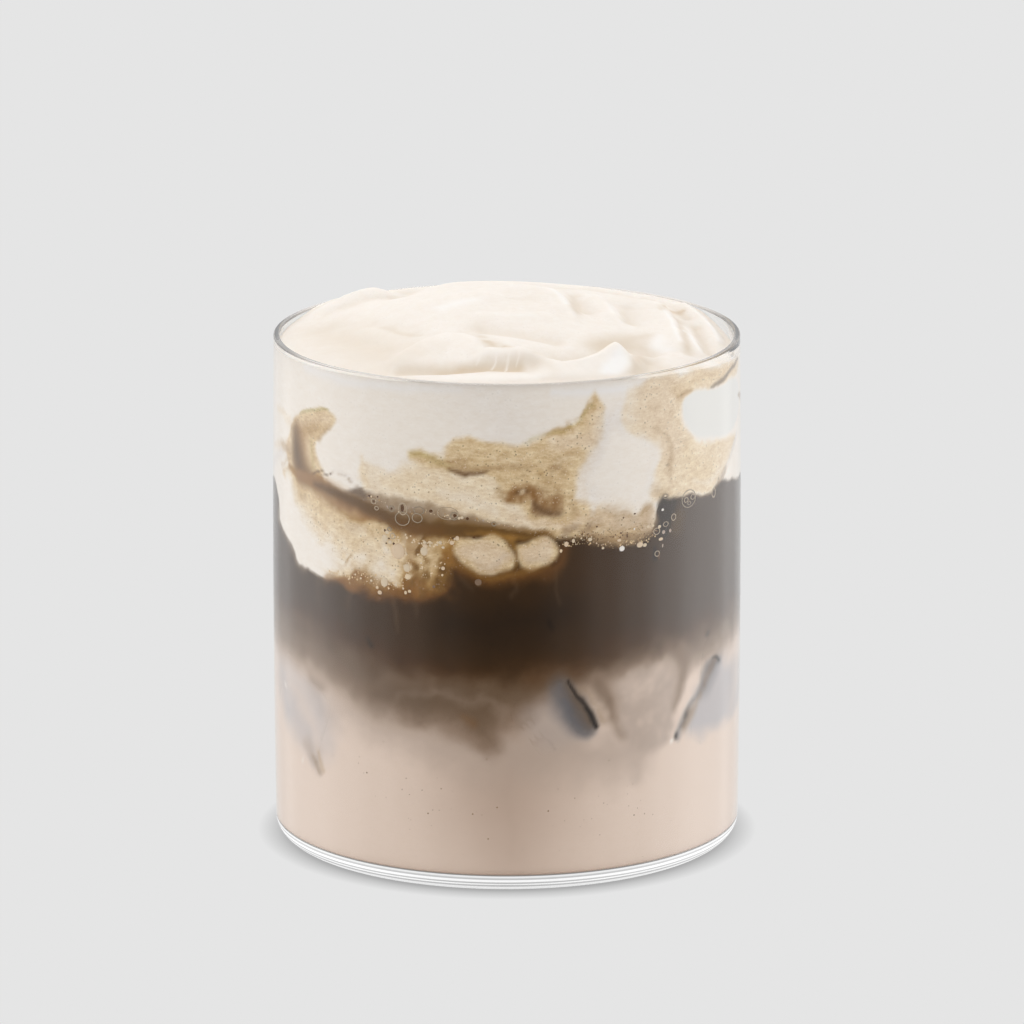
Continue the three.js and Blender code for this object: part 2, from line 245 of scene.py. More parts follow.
# What shows through the wall, painted in this order. A place round the wall is in millimetres from the front,
# to the right. cover is how much a marking hides, soft the half width of its blurred edge, ragged how far
# its edge wanders, and mottle how patchy it is.
MARKINGS = [
    # the milk, browner and darker across the front, partly its own colour and partly painted shade
    band("deep milk", [(2, 27, 6), (0, 18, 8), (1, 8, 3)], 0.97, 14),
    band("beige", [(-32, 29, 1), (-20, 27, 2), (-8, 25.5, 4), (4, 25, 5), (12, 24, 4), (20, 23, 3.5),
         (24, 22, 1)], 0.72, 5, 1.5),
    area("ice", [(-52, 33), (-44, 33), (-36, 31), (-33, 27), (-34, 21), (-40, 20), (-46, 23), (-52, 27)],
         0.62, 4, 1),
    band("ice", [(-47.5, 25.5, 1.6), (-44, 26, 1.8), (-40, 23.5, 1.5)], 0.4, 2),
    band("grey milk", [(-39, 21.5, 0.9), (-38, 19, 1.3), (-36, 20.5, 0.8)], 0.6, 1.3),
    band("brown tan", [(-36.7, 20.5, 0.3), (-36.3, 18.8, 0.5), (-35.6, 17.4, 0.4)], 0.65, 0.6, 0.6),
    band("white", [(-48.3, 29, 0.4)], 0.6),
    area("ice", [(35, 28), (39, 33.5), (43, 35), (48, 34), (58, 31), (58, 25), (50, 23), (42, 23),
         (35, 24)], 0.85, 2.2, 1),
    band("beige", [(22.5, 21, 0.8), (23, 18.5, 1)], 0.4, 1.5),

    # the tea, thinning out into the milk
    above("light cloud", [(-62, 35.3), (-48, 34.6), (-38, 34.2), (-31, 32), (-25, 30), (-18, 29),
         (-10, 28.9), (-6.5, 27.8), (-3, 26.6), (0.3, 28.4), (4, 30.8), (6.6, 33.6), (10, 34.6), (17, 35.6),
         (24, 37.4), (28, 38.4), (33, 36.6), (38, 36), (46, 36.6), (60, 37), (85, 33.2), (109, 35.6),
         (136.4, 34.4), (162.3, 31.4)], 0.85, 3.6, 0.7),
    band("light cloud", [(-5, 28.4, 1.2), (-3, 26.4, 1), (-1.8, 24.8, 0.5)], 0.5, 2.4, 0.8),
    band("light cloud", [(1, 31, 1), (4.5, 33, 1.6), (8, 35, 1.4)], 0.5, 2.6, 0.8),
    above("cloud", [(-62, 38.5), (-48, 38.2), (-38, 37.5), (-28, 34), (-20, 31.5), (-12, 30.5), (-7, 29.8),
         (-3, 30), (0, 32), (4, 33), (8, 34.8), (14, 36.6), (22, 38), (28, 39.4), (34, 38), (44, 38.8),
         (60, 39.5), (85, 36.5), (109, 38.5), (136.4, 38), (162.3, 35)], 0.92, 4.4, 0.9),
    above("red tea", [(-62, 43.5), (-45, 42.5), (-35, 41.5), (-25, 39.5), (-12, 37.3), (0, 38), (10, 38.5),
         (20, 40.5), (28, 42), (36, 41.5), (60, 42), (85, 40), (109, 41.5), (136.4, 41), (162.3, 39.5)],
         1, 3, 1.2),
    above("tea", [(-62, 46), (-40, 45), (-25, 43), (-10, 39.8), (6, 39.8), (20, 42.5), (36, 44), (60, 45),
         (85, 43), (109, 44.5), (136.4, 44), (162.3, 43)], 0.72, 3.2, 1.2),
    band("dark tea", [(-9, 47, 3), (0, 46.5, 5), (9, 49, 3)], 0.92, 6, 1),
    # faint drips of foam
    band("light cloud", [(-19.6, 51, 0.3), (-19.2, 48, 0.35), (-18.6, 44.5, 0.2)], 0.22, 0.5),
    band("light cloud", [(-36, 50.5, 0.4), (-36.3, 47.5, 0.4), (-35.7, 45, 0.2)], 0.2, 0.7),
    band("light cloud", [(-28.4, 50, 0.3), (-28.7, 47, 0.4)], 0.25, 0.6),
    band("light cloud", [(-15.8, 50, 0.3), (-15.2, 47.5, 0.2)], 0.2, 0.5),
    band("light cloud", [(8, 56.5, 0.2), (8.1, 53, 0.25), (8.6, 50.3, 0.2)], 0.16, 0.4, 0.4),
    band("light cloud", [(1.2, 54.8, 0.3), (2, 53.2, 0.3), (0.5, 51.5, 0.2)], 0.2, 0.6, 0.8),
    band("light cloud", [(-7, 54.2, 0.3), (-5.5, 53, 0.3)], 0.2, 0.7, 0.8),

    # the brown cloud in the milk
    band("cloud", [(-22, 33, 1), (-14, 32.5, 2), (-7, 32.5, 2.2), (-4, 28.5, 1.2), (-2.4, 26.5, 0.4)],
         0.5, 3, 1),
    band("beige", [(-13, 35.5, 0.4), (-9, 33, 0.8), (-4, 33.5, 0.7), (-1, 31, 0.6)], 0.25, 1.2, 1.5),
    band("beige", [(-20, 32.5, 0.3), (-16, 34.5, 0.5), (-12, 34.3, 0.4)], 0.16, 0.8, 1.5),
    band("light cloud", [(-28, 33, 0.7), (-20, 36, 1), (-12, 36.5, 0.8)], 0.3, 1.5, 1.5),
    band("umber", [(-7.5, 30.6, 0.3), (-5.5, 29.6, 0.6)], 0.3, 0.9),
    band("bark", [(4, 37.5, 1.2), (9, 37.3, 1.2), (12, 38.5, 1)], 0.6, 2),

    # paler clouds at the right
    area("beige", [(18.7, 35), (22.4, 36.8), (27, 38), (30, 37.2), (31.6, 34.6), (31, 32), (31, 28),
         (29, 24), (24, 22.5), (20, 25), (18.3, 30)], 0.88, 1.6, 1.1, 0.15),
    band("light cloud", [(17.6, 33, 0.4), (18.2, 29.5, 0.6), (19.6, 26.5, 0.7)], 0.5, 1.2),
    band("light cloud", [(33, 39, 1), (33.2, 35, 1.6), (32, 32, 1), (31, 29, 0.5)], 0.85, 1.5, 1),
    band("milk", [(21, 35, 0.8), (24.5, 34, 0.8), (28, 37.5, 1.2)], 0.4, 1.6, 1),
    band("milk", [(32.5, 29.5, 0.3), (35.5, 32.8, 0.7), (38.5, 35.6, 0.5)], 0.6, 1.2, 0.7),

    # ice against the wall
    area("grey milk", [(2, 31), (6, 34), (10, 36), (12.5, 31), (14.5, 28), (12, 26), (6, 26)], 0.5, 2.2),
    band("ice shade", [(8.8, 36, 1.2), (10, 32.8, 2), (12.4, 29.2, 1.6)], 0.9, 2.2, 0.4),
    band("light cloud", [(14.6, 36.6, 1), (17, 33.8, 1.4), (18, 30.2, 0.8)], 0.8, 2, 0.8),
    band("cloud", [(15, 35.4, 0.5), (16.8, 32.6, 0.7)], 0.55, 1.4),
    band("ice shade", [(13.8, 28, 0.7)], 0.7, 1.4),
    band("light cloud", [(-9, 28, 1.2), (-6.4, 26.9, 1.2), (-3.6, 26, 0.8)], 0.55, 2.2),
    band("light cloud", [(-38.5, 33, 0.6), (-35.5, 32, 0.8)], 0.65, 1.6, 0.8),
    band("beige", [(-25, 30.8, 1), (-21, 30.2, 1.2)], 0.35, 2),
    # painted light: the milk made paler towards both sides of the glass
    band("white", [(-59.5, 5, 3), (-59.5, 33, 2.5)], 0.3, 5),
    band("white", [(59.5, 5, 3), (59.5, 33, 2.5)], 0.3, 5),
    area("ice shade", [(10, 36.3), (12, 34), (14, 31), (15, 28.5), (13.2, 27.3), (11.5, 28.5), (10, 31.5)],
         0.9, 1.5, 0.2),
    band("cloud", [(10.2, 36, 0.3), (12, 32.8, 0.7), (14, 29.2, 0.8)], 0.85, 1.5, 0.3),
    band("grey brown", [(12.6, 35.2, 0.3), (15, 32, 0.5), (16.3, 29.4, 0.4)], 0.55, 0.8),
    band("black", [(10.4, 36.8, 0.15), (11.6, 34.9, 0.25), (12.8, 33, 0.28), (14, 31, 0.4),
         (15.2, 28.6, 0.4)], 1, 0.34, 0.35),
    band("ice shade", [(31.6, 24.3, 0.6), (33.4, 26.6, 0.7), (35, 28.6, 0.4), (37.8, 31.6, 0.6),
         (39.4, 34.4, 0.7), (43.8, 34.6, 0.6)], 0.7, 0.9, 0.6),
    band("black", [(31.2, 24.1, 0.42)], 0.9, 0.4, 0.4),
    band("cloud", [(33.2, 25.4, 0.5), (34.6, 27.6, 0.7)], 0.7, 0.9, 0.4),
    band("black", [(33.9, 27.3, 0.35)], 0.65, 0.5, 0.4),
    band("milk", [(52, 33, 2), (54, 29, 3), (50, 25.4, 1.6)], 0.4, 3, 1),
    band("ice shade", [(43.6, 35, 0.8), (41.6, 33.4, 1.4), (39, 30.6, 1)], 0.5, 1.8, 0.8),
    band("black", [(41.5, 35.6, 0.12), (43, 35.6, 0.3), (44, 34.6, 0.25)], 0.95, 0.35, 0.3),
    band("bark", [(42.5, 35.2, 0.7), (40, 33.2, 0.9), (38.2, 30.4, 0.5)], 0.6, 0.9),
    band("grey brown", [(37.6, 30, 0.5), (35.4, 27, 0.7), (33.6, 25, 0.4)], 0.7, 1),
    band("white", [(30.3, 23.5, 0.3)], 1, 0.3, 0.2),
    band("white", [(-41.4, 17.7, 0.25)], 1, 0.3, 0.2),
    band("beige", [(-40, 20.6, 0.8), (-38.2, 18.6, 0.8), (-36.8, 17, 0.4)], 0.7, 1.5, 0.6),
    band("grey brown", [(-38.4, 19.2, 0.3), (-37.2, 17.8, 0.4), (-36.4, 16.8, 0.2)], 0.8, 0.7, 0.6),
    band("milk", [(-45.5, 29.6, 1.2), (-41.4, 27, 2.4), (-37.6, 23.6, 2), (-36, 20.6, 1)], 0.55, 3.4, 1.2),
    band("grey milk", [(-40, 32, 0.5), (-37, 30, 1.2), (-35, 28, 0.6)], 0.45, 2, 1),
    band("dark tea", [(-24.6, 42.6, 0.2), (-23.8, 41.3, 0.4)], 0.9, 0.5, 0.4),
    band("black", [(7, 47.2, 0.4), (7.6, 46.2, 0.3)], 0.6, 0.6, 0.4),
    band("black", [(39.6, 40, 0.35), (40.3, 40.6, 0.25)], 0.6, 0.4, 0.4),

    # the cream
    above("cream", [(-57.5, 63.9), (-52, 61), (-50.8, 57.5), (-45, 54.9), (-42.3, 52.4), (-36, 51.2),
         (-30, 51.8), (-24, 53.5), (-17, 53.5), (-15, 60), (-12, 64.6), (-4, 64.8), (4, 63.6), (9.5, 62),
         (13, 61.8), (19, 61.4), (23, 60.8), (25.6, 61.3), (27, 65.5), (30, 66.3), (34.5, 66), (39, 64.6),
         (43, 65.6), (46, 66.3), (50, 65), (58, 63.9), (80.4, 57), (96.8, 53.5), (114.5, 58.6),
         (133.6, 61.8), (151.3, 55.2), (169, 58)], 1, 0.35),

    # painted shade down the front middle of the cream
    band("shaded cream", [(-5, 86, 2), (0, 82, 4), (0, 74, 4)], 0.45, 9),
    # painted reflection: a pale band just under the rim at the front
    band("rim white", [(-40, 86.6, 0.7), (-30, 86.2, 0.7), (-20, 86.6, 0.6), (-8, 86.9, 0.3)],
         0.55, 1, 0.3),
    band("rim white", [(8, 86.6, 0.4), (16, 86.2, 0.7), (26, 86.4, 0.8), (36, 87, 0.6), (44, 86.9, 0.4)],
         0.7, 1, 0.3),

    # amber behind the left foam
    area("golden", [(-34, 52.6), (-30, 50.8), (-24, 51.2), (-17, 50.9), (-12, 51.2), (-9.3, 54), (-8, 57),
         (-8, 63), (-13, 64.5), (-18, 64.5), (-27, 62)], 0.95, 1, 1.3, 0.2),
    band("amber", [(-33, 52, 0.8), (-29, 52, 1.4), (-25, 52.5, 1.2), (-20, 51.5, 1.2), (-14, 52, 1.2)],
         0.7, 1.2, 1.3, 0.5),
    band("umber", [(-16, 62, 0.8), (-15.5, 58, 0.8), (-15, 54, 0.8), (-13, 51.5, 0.8)], 0.55, 1, 1.3, 0.6),
    band("tan", [(-14, 58, 1), (-12.5, 55.5, 1.2), (-11.5, 58.5, 0.8)], 0.8, 1, 1.6, 0.7),
    band("tan", [(-14, 62, 0.5), (-11.2, 61, 0.5), (-9.3, 61.2, 0.4), (-8.7, 62.5, 0.2)],
         0.7, 0.5, 1.4, 0.5),

    band("pale tan", [(-17.2, 57.6, 0.3), (-14.6, 58.8, 0.8), (-12, 57.8, 0.9), (-13.4, 55.8, 0.8)],
         0.75, 1, 1.8, 0.7),
    band("tan", [(-16.4, 55, 0.8), (-14, 53.8, 1.4), (-11.4, 55.4, 1.4), (-12.4, 58.6, 1.4)],
         0.6, 1.2, 1.8, 0.5),
    band("tan", [(-16.6, 59.8, 0.4), (-13, 60.2, 0.6), (-9.6, 60.2, 0.4)], 0.7, 0.7, 1.6, 0.6),
    band("umber", [(-34, 50.9, 0.4), (-27, 51.2, 0.7), (-20, 50.7, 0.6), (-13, 50.9, 0.7), (-9, 53.4, 0.5)],
         0.6, 1.3, 1.4),

    # the left foam
    area("tan", [(-49.5, 66.8), (-44, 68.2), (-40, 67.8), (-36, 66.3), (-31, 64), (-28, 63), (-24, 63.6),
         (-20.5, 62.8), (-18, 60.7), (-17, 58.5), (-17.6, 56), (-17.3, 53.5), (-19, 52.3), (-22, 53.2),
         (-25, 54.4), (-28, 53.2), (-31, 52.2), (-35, 52.8), (-38, 56), (-43, 61), (-48, 65)],
         0.97, 0.6, 1),
    band("pale tan", [(-40, 62, 1.5), (-35, 58.5, 3), (-28, 57.5, 3.5), (-21, 57, 3)], 0.75, 3, 1.4),
    area("pale tan", [(-41, 64), (-34, 61), (-28, 59.5), (-22, 60), (-18.5, 57.5), (-18.8, 53.5),
         (-22, 53.8), (-25, 55.5), (-30, 53.2), (-34, 54), (-38, 58)], 0.85, 1.2, 1.2, 0.5),
    area("cream", [(-47, 66.8), (-50.4, 64.3), (-51.4, 58.5), (-50, 57.3), (-45, 55), (-42.2, 52.5),
         (-36, 51.8), (-32.5, 52.6), (-30.5, 54.3), (-33, 56.5), (-37.5, 59), (-41, 61.8), (-45.5, 65.3)],
         1, 2.4, 1.2),
    band("cream", [(-37, 57.5, 1.2), (-31, 56, 1.4), (-26, 56.6, 1.2)], 0.65, 2, 1.4, 0.4),
    band("cream", [(-21.6, 59.4, 0.5), (-21.4, 56.8, 0.9), (-23.4, 54.8, 1.1), (-20, 53.4, 0.9)],
         0.85, 1, 1.3, 0.3),
    band("cream", [(-29.5, 60.8, 0.4), (-25.5, 60.6, 0.5)], 0.4, 0.9, 1.4, 0.6),
    area("pale tan", [(-24, 56.5), (-21, 58), (-18, 56.5), (-17.8, 54), (-20, 52.8), (-23, 54)],
         0.7, 0.6, 1),
    band("cream", [(-22.5, 55.4, 0.8), (-19.5, 54.2, 0.7)], 0.55, 0.8, 1, 0.3),
    band("golden", [(-28.6, 58.8, 0.15), (-28.2, 57, 0.25), (-28.8, 55.6, 0.2)], 0.65, 0.35, 0.9, 0.6),
    band("brown tan", [(-47, 67, 0.2), (-43, 65.4, 0.4), (-39, 63.2, 0.4), (-35.5, 60.5, 0.4),
         (-33, 59.6, 0.3)], 0.45, 0.7, 1.3, 0.7),
    band("brown tan", [(-29, 61, 0.4), (-24, 61.5, 0.4), (-21, 60.2, 0.5)], 0.4, 0.7, 1.4, 0.8),
    band("amber", [(-27.3, 52.6, 0.5), (-26, 54.6, 0.6), (-25.4, 53.4, 0.5)], 0.85, 0.5, 1.1, 0.4),
    band("amber", [(-30.5, 51.8, 0.3), (-29.5, 52.8, 0.5)], 0.7, 0.5, 1.1, 0.4),

    # the hook
    band("shaded cream", [(-57, 66.5, 0.8), (-52, 69, 1), (-46, 71.6, 1.2)], 0.7, 1.3),
    band("pink tan", [(-56, 70, 0.1), (-50, 70.9, 0.6), (-45, 71.8, 1.8)], 0.7, 1),
    band("pale tan", [(-53, 77, 0.5), (-48, 76.6, 0.8), (-45, 76, 0.6)], 0.4, 0.9),
    area("tan", [(-47.5, 71.8), (-46, 74.4), (-44.6, 76.6), (-42, 78.5), (-37.5, 79.9), (-34.6, 80.6),
         (-31.9, 79.7), (-32.6, 78.2), (-35, 76.3), (-36.8, 74.4), (-36.9, 72.4), (-35.6, 70.6),
         (-34.6, 69.4), (-37, 68.4), (-41, 67.9), (-46, 68.6)], 0.94, 0.55, 0.35),
    area("pink tan", [(-48, 72), (-45.5, 74.9), (-43, 76.8), (-38, 78.6), (-34, 79.5), (-33, 79),
         (-36, 77.8), (-41, 75.8), (-44.5, 73), (-46, 71)], 0.55, 0.8),
    band("pale tan", [(-39.4, 75, 0.6), (-38.6, 72, 0.7), (-37, 70, 0.8)], 0.6, 0.9, 0.6),
    band("olive", [(-42, 78.5, 0.12), (-39.5, 79.5, 0.25), (-36.8, 80, 0.22), (-34.7, 80.6, 0.22),
         (-33.4, 80.4, 0.08)], 0.75, 0.3, 0.35),
    band("golden", [(-33.2, 78.3, 0.2), (-34.4, 76.8, 0.5), (-36, 75.3, 0.5)], 0.5, 0.6, 0.8, 0.5),
    band("golden", [(-42, 74.9, 1.2), (-38.9, 76.3, 1.2), (-36.2, 77.2, 0.6)], 0.5, 1.6, 0.6),
    band("pale current", [(-43, 76.2, 0.6), (-42.4, 73.2, 1.8), (-41.6, 69.8, 2.4), (-39, 67.8, 1.6)],
         0.8, 2, 0.4),
    band("current", [(-43.6, 74.8, 0.5), (-43, 71.6, 1.4), (-41.6, 69, 1.4), (-38, 67.6, 0.8)],
         0.9, 2.2, 0.4),
    band("cloud", [(-44, 73, 0.3), (-43, 70.5, 0.6)], 0.35, 1.2, 0.4),
    band("olive", [(-38.4, 74.2, 0.25), (-38, 72, 0.3), (-37.4, 69.9, 0.3)], 0.45, 0.7, 0.4),
    band("brown tan", [(-50, 71.3, 0.3), (-46.5, 71, 0.8)], 0.6, 0.8),
    band("brown tan", [(-50, 67.5, 0.1), (-46.5, 69.2, 0.5)], 0.5, 0.7, 0.6),

    # the brown current
    band("golden", [(-46, 68, 0.5), (-41, 67.9, 0.9), (-38.5, 67.5, 1.1), (-36, 67.4, 1.6), (-33, 66, 1.5),
         (-30, 64.8, 1.8), (-27, 64.2, 2), (-24, 64.5, 1.5), (-21, 63.9, 1.1), (-18, 63.7, 1.3),
         (-14, 63.4, 1.6), (-10, 63.4, 1.4), (-5, 63.6, 1.1), (0, 62.9, 1.2), (4, 62.8, 0.8),
         (8, 62.2, 0.5)], 0.97, 0.5),
    band("pale current", [(-42, 67.8, 1.2), (-38.5, 67.8, 1.1), (-35, 66.4, 1.9), (-31, 65.2, 2.1),
         (-26, 64.9, 1.9), (-22, 64.2, 1.2)], 0.85, 0.9),
    band("tan", [(-36, 65, 0.5), (-31.5, 63.2, 0.6), (-27, 63, 0.5)], 0.45, 1, 0.8),
    band("current", [(-37, 67.2, 0.4), (-31, 66.2, 1), (-26, 65.4, 1.2), (-21, 64.2, 1.3), (-15, 63.2, 1.7),
         (-9, 63.2, 1.4), (-3, 63.4, 0.9), (4, 62.7, 0.6), (8, 62, 0.3)], 0.9, 0.9),
    band("umber", [(-20, 63.4, 0.3), (-15, 62.6, 0.8), (-11, 62.8, 0.6)], 0.4, 1, 0.6),
    band("golden", [(-6.5, 62.6, 0.3), (-4, 62.8, 0.5), (0, 62.3, 0.4)], 0.5, 0.8, 0.8),
    band("tan", [(-34.5, 66, 0.3), (-32, 65.2, 0.4)], 0.3, 0.9),
    area("cloud", [(-29.4, 67.1), (-26.6, 68.3), (-25.3, 68.2), (-24.4, 67), (-25.4, 66.6), (-27.6, 67)],
         0.85, 0.4, 0.3),
    band("bark", [(-37.6, 68.8, 0.08), (-36.3, 69.4, 0.12), (-35, 69.6, 0.14), (-33.6, 69.3, 0.12),
         (-32.4, 69.9, 0.06)], 0.95, 0.18, 0.2),
    band("pink tan", [(-34, 68.4, 0.4), (-31, 67.9, 0.5), (-28.4, 67.6, 0.3)], 0.45, 0.6),
    band("grey brown", [(-32.4, 70.2, 0.06), (-30, 70.1, 0.1), (-28.4, 69.2, 0.1), (-26.6, 68.4, 0.1)],
         0.8, 0.25, 1.1, 0.6),
    band("shaded cream", [(-32, 70.6, 0.3), (-29.5, 70.2, 0.4), (-27.5, 69.2, 0.3)], 0.6, 0.5, 1.1, 0.5),

    # the middle foam
    band("pale tan", [(-25.6, 73.8, 0.1), (-25.2, 71, 0.5), (-25, 68.6, 0.6)], 0.75, 0.6),
    area("pale tan", [(-25.5, 72.1), (-20, 72.3), (-17, 74), (-12, 74.5), (-4, 72), (4, 68), (6, 64.5),
         (-4, 65), (-12, 66.5), (-24, 67.8)], 0.62, 0.8, 1),
    area("tan", [(-16.8, 75.3), (-14.5, 76.2), (-10.6, 75.6), (-10, 77.8), (-8, 78.8), (-4, 79), (0, 78.1),
         (3.4, 77.9), (5.6, 78.4), (8.5, 79.9), (11.5, 81), (13.6, 83.2), (15.1, 86), (16.1, 83.6),
         (16.3, 81.2), (15.4, 78.4), (13.4, 74.8), (11.7, 71), (11.5, 68.5), (14, 66.5), (13, 61.5),
         (9, 61.5), (6, 63.5), (3, 66), (-1.5, 70.5), (-4.5, 72.2), (-8.5, 73), (-13, 73.5)],
         0.95, 0.7, 0.8),
    band("pink tan", [(15, 82.5, 0.7), (14, 79, 1.4), (11, 77.8, 1.3), (8, 77.8, 1)], 0.75, 1, 0.8),
    band("golden", [(6.2, 79.2, 0.1), (8.6, 79.7, 0.3), (11.4, 80.8, 0.6), (13.6, 83, 0.4),
         (14.8, 85.2, 0.2)], 0.45, 0.7, 1.2, 0.8),
    band("brown tan", [(5, 75.3, 0.7), (8, 75.2, 0.5), (12, 75.6, 0.6)], 0.4, 0.9, 1.2, 0.5),
    band("brown tan", [(9, 74, 1), (8, 71, 1.8), (9.5, 68, 1.5), (10.5, 65.5, 0.8)], 0.8, 1.2, 1.2, 0.5),
    band("golden", [(3.5, 73, 0.6), (6.5, 72, 0.8), (10, 70, 0.6)], 0.3, 1, 1.4, 0.8),
    band("brown tan", [(-2, 71.6, 0.3), (3, 71.8, 0.4), (8, 72.4, 0.3)], 0.6, 0.6, 1.2, 0.5),
    band("brown tan", [(0, 74.8, 0.2), (6, 73.8, 0.3), (11.5, 73.6, 0.2)], 0.5, 0.5, 1.2, 0.5),
    band("pale tan", [(-14, 75, 0.3), (-8, 75.6, 0.4), (0, 75.6, 0.3), (8, 76.6, 0.4)], 0.5, 0.8, 1.2, 0.4),
    band("pale tan", [(2, 73.2, 0.2), (8, 74.8, 0.3), (12.6, 75, 0.3)], 0.45, 0.6, 1.2, 0.5),
    band("olive", [(3, 78.2, 0.2), (8, 79.4, 0.3), (11.6, 80.8, 0.3), (14, 83.6, 0.25)],
         0.4, 0.5, 0.8, 0.3),
    band("brown tan", [(-9, 76.8, 0.6), (-6, 75.3, 0.8), (-3, 76.6, 0.8), (1, 76.8, 0.6)],
         0.3, 0.8, 1.4, 0.8),
    band("pale tan", [(-7, 77.8, 0.6), (-2, 75.4, 0.7), (4, 76.8, 0.5)], 0.3, 0.9, 1.4, 0.7),
    band("olive", [(-16, 75.7, 0.3), (-13, 75.2, 0.5), (-10.6, 74.4, 0.5), (-9.4, 73.7, 0.4)],
         0.6, 0.7, 0.8),
    band("brown tan", [(-12, 74.8, 0.4), (-9.6, 74.2, 0.8), (-7, 73.8, 0.6)], 0.6, 0.9, 1.2, 0.3),
    band("brown tan", [(-9.8, 73.6, 0.3), (-6.5, 73, 0.6), (-3, 73.6, 0.5), (0.5, 74.4, 0.4),
         (3.5, 73.2, 0.3)], 0.85, 0.7, 0.7, 0.2),
    band("bark", [(-9.4, 73.4, 0.12), (-6.8, 72.7, 0.3), (-4.8, 72.5, 0.3), (-3.4, 73, 0.12)], 0.85),
    area("pale tan", [(-17, 73), (-12, 73.6), (-8, 72), (-4.5, 71.8), (-1, 70), (0.5, 67), (4, 65),
         (6.5, 64), (2, 64), (-4, 65.2), (-11, 67), (-19, 68.6), (-22, 70)], 0.8, 0.9, 0.9, 0.15),
    band("cream", [(-11, 69.3, 0.7), (-6, 68.6, 0.9), (-1.8, 66.8, 0.6)], 0.35, 1, 1),
    band("pink tan", [(1, 65.6, 0.6), (6, 64.6, 0.6), (9.5, 63.6, 0.6), (12, 64, 0.8)], 0.8, 0.7, 0.8),

    # dark pockets in the foam
    band("brown tan", [(-1.6, 70.3, 0.3), (0.2, 69, 0.6), (3, 68.6, 1.2), (6, 69.5, 1.2), (7.5, 67, 1)],
         0.9, 0.7, 1, 0.3),
    band("umber", [(0.8, 69.6, 0.3), (1.6, 68, 0.5), (2.6, 68.2, 0.3)], 0.6, 0.8, 1.4, 0.4),
    band("umber", [(1, 69.6, 0.5), (4, 68.4, 1.2), (7.4, 67.4, 1.2)], 0.7, 1.2, 1.2, 0.4),
    band("bark", [(1.6, 69.4, 0.3), (2.6, 69, 0.3)], 0.8, 0.6, 0.8),
    band("bark", [(4.2, 67.4, 0.4), (6, 66.6, 0.6), (8.4, 66.2, 0.4)], 0.95, 0.8, 0.8, 0.1),
    band("pale tan", [(5.6, 68.2, 0.3), (4.4, 69, 0.2)], 0.5, 0.4, 1, 0.4),
    band("pale tan", [(2.4, 69.5, 0.35)], 0.8, 0.3, 0.3),
    band("pale tan", [(6.3, 69.1, 0.4)], 0.5, 0.4, 0.3),

    # the bubbly edge under the foam
    band("grey foam", [(-24.4, 67.2, 0.7), (-20, 66.2, 1.5), (-15.5, 65.8, 1.7), (-11, 65.5, 1.3),
         (-6.5, 65.2, 0.8), (-2, 64.5, 0.5), (3, 63.9, 0.3)], 0.9, 0.6, 0.8, 0.2),
    band("pale tan", [(-20, 66.8, 0.3), (-15, 66.6, 0.3), (-10.5, 66, 0.4)], 0.3, 0.7, 1.4, 0.6),
    band("brown tan", [(-2, 64.2, 0.2), (3, 63.6, 0.2), (8, 62.6, 0.3)], 0.5, 0.5),

    band("shaded cream", [(20, 82, 1.6), (18.4, 77.6, 2.6), (17.6, 73.6, 3.4), (17.8, 70.6, 2.6),
         (22, 70.6, 3.4), (25, 72, 2)], 0.75, 2.8, 0.9),

    # two floating blobs
    band("umber", [(-9.5, 58, 0.8), (-7, 55.8, 0.8), (-2, 54.8, 0.8), (3, 55.4, 0.8), (8, 56.6, 0.7),
         (9.8, 59.5, 0.5)], 0.7, 1.5, 0.7),
    band("golden", [(-9.3, 60.5, 0.8), (-9, 57.5, 0.6), (-6, 55.9, 0.4), (-1, 55.1, 0.4), (3, 55.9, 0.3),
         (6.4, 56.8, 0.1)], 0.6, 0.9, 0.7),
    band("golden", [(0.6, 61.8, 0.8), (1.2, 60.4, 0.5)], 0.8, 0.7),
    area("tan", [(-8.4, 61.4), (-6.3, 61.9), (-4.6, 61.6), (-2.5, 62.4), (-0.5, 61.6), (0.7, 59.9),
         (1.3, 57.9), (0.8, 56.2), (-2, 55.8), (-5, 56), (-7.2, 57), (-8.3, 58.6), (-8.6, 60)], 0.97),
    area("tan", [(1.6, 60.7), (3, 61.5), (5.5, 62), (7.8, 61.1), (8.7, 59.6), (8, 57.9), (6, 57), (4, 56.2),
         (2.2, 56.7), (1.5, 58.7)], 0.97),
    band("pink tan", [(-6.5, 59.3, 1.6), (-3, 59, 2.2), (-1, 58, 1.6)], 0.85, 1, 0.8),
    band("pink tan", [(3.6, 59.2, 1.7), (6.4, 59.8, 1.5)], 0.85, 0.9, 0.8),
    band("beige", [(-5, 57.4, 0.6), (-2, 57, 0.7), (0, 58.6, 0.5)], 0.3, 1.2, 1),
    band("beige", [(3, 57.6, 0.5), (6, 58, 0.5)], 0.3, 1, 1),
    band("golden", [(1.25, 60.2, 0.1), (1.35, 58.2, 0.12), (1.5, 56.6, 0.1)], 0.6, 0.35),

    # drops beside them
    band("pale tan", [(-18.3, 58.6, 1.35)], 0.9, 0.35, 0.3),
    band("pale tan", [(-16.5, 55.8, 0.6)], 0.9, 0.25, 0.3),
    band("pale tan", [(-16.2, 54.2, 0.4)], 0.9, 0.25, 0.3),
    band("pale tan", [(-13.6, 59.4, 0.7), (-13, 60.2, 0.4)], 0.75, 0.5, 1.2, 0.4),
    band("pink tan", [(-4.4, 54.1, 0.35)], 0.35, 0.5, 0.3),

    # the foam under the white lobe
    area("brown tan", [(12.5, 62.5), (14, 65), (17.5, 66), (21.5, 65.2), (24.5, 66.3), (26, 64),
         (25.6, 60.6), (23, 59.2), (19, 59.6), (16, 59.8), (13, 60.4)], 0.92, 0.9, 0.8, 0.15),
    band("pink tan", [(11.5, 65.5, 0.8), (16, 64.4, 1.2), (21, 63.6, 1.2), (25.6, 63.6, 0.9)],
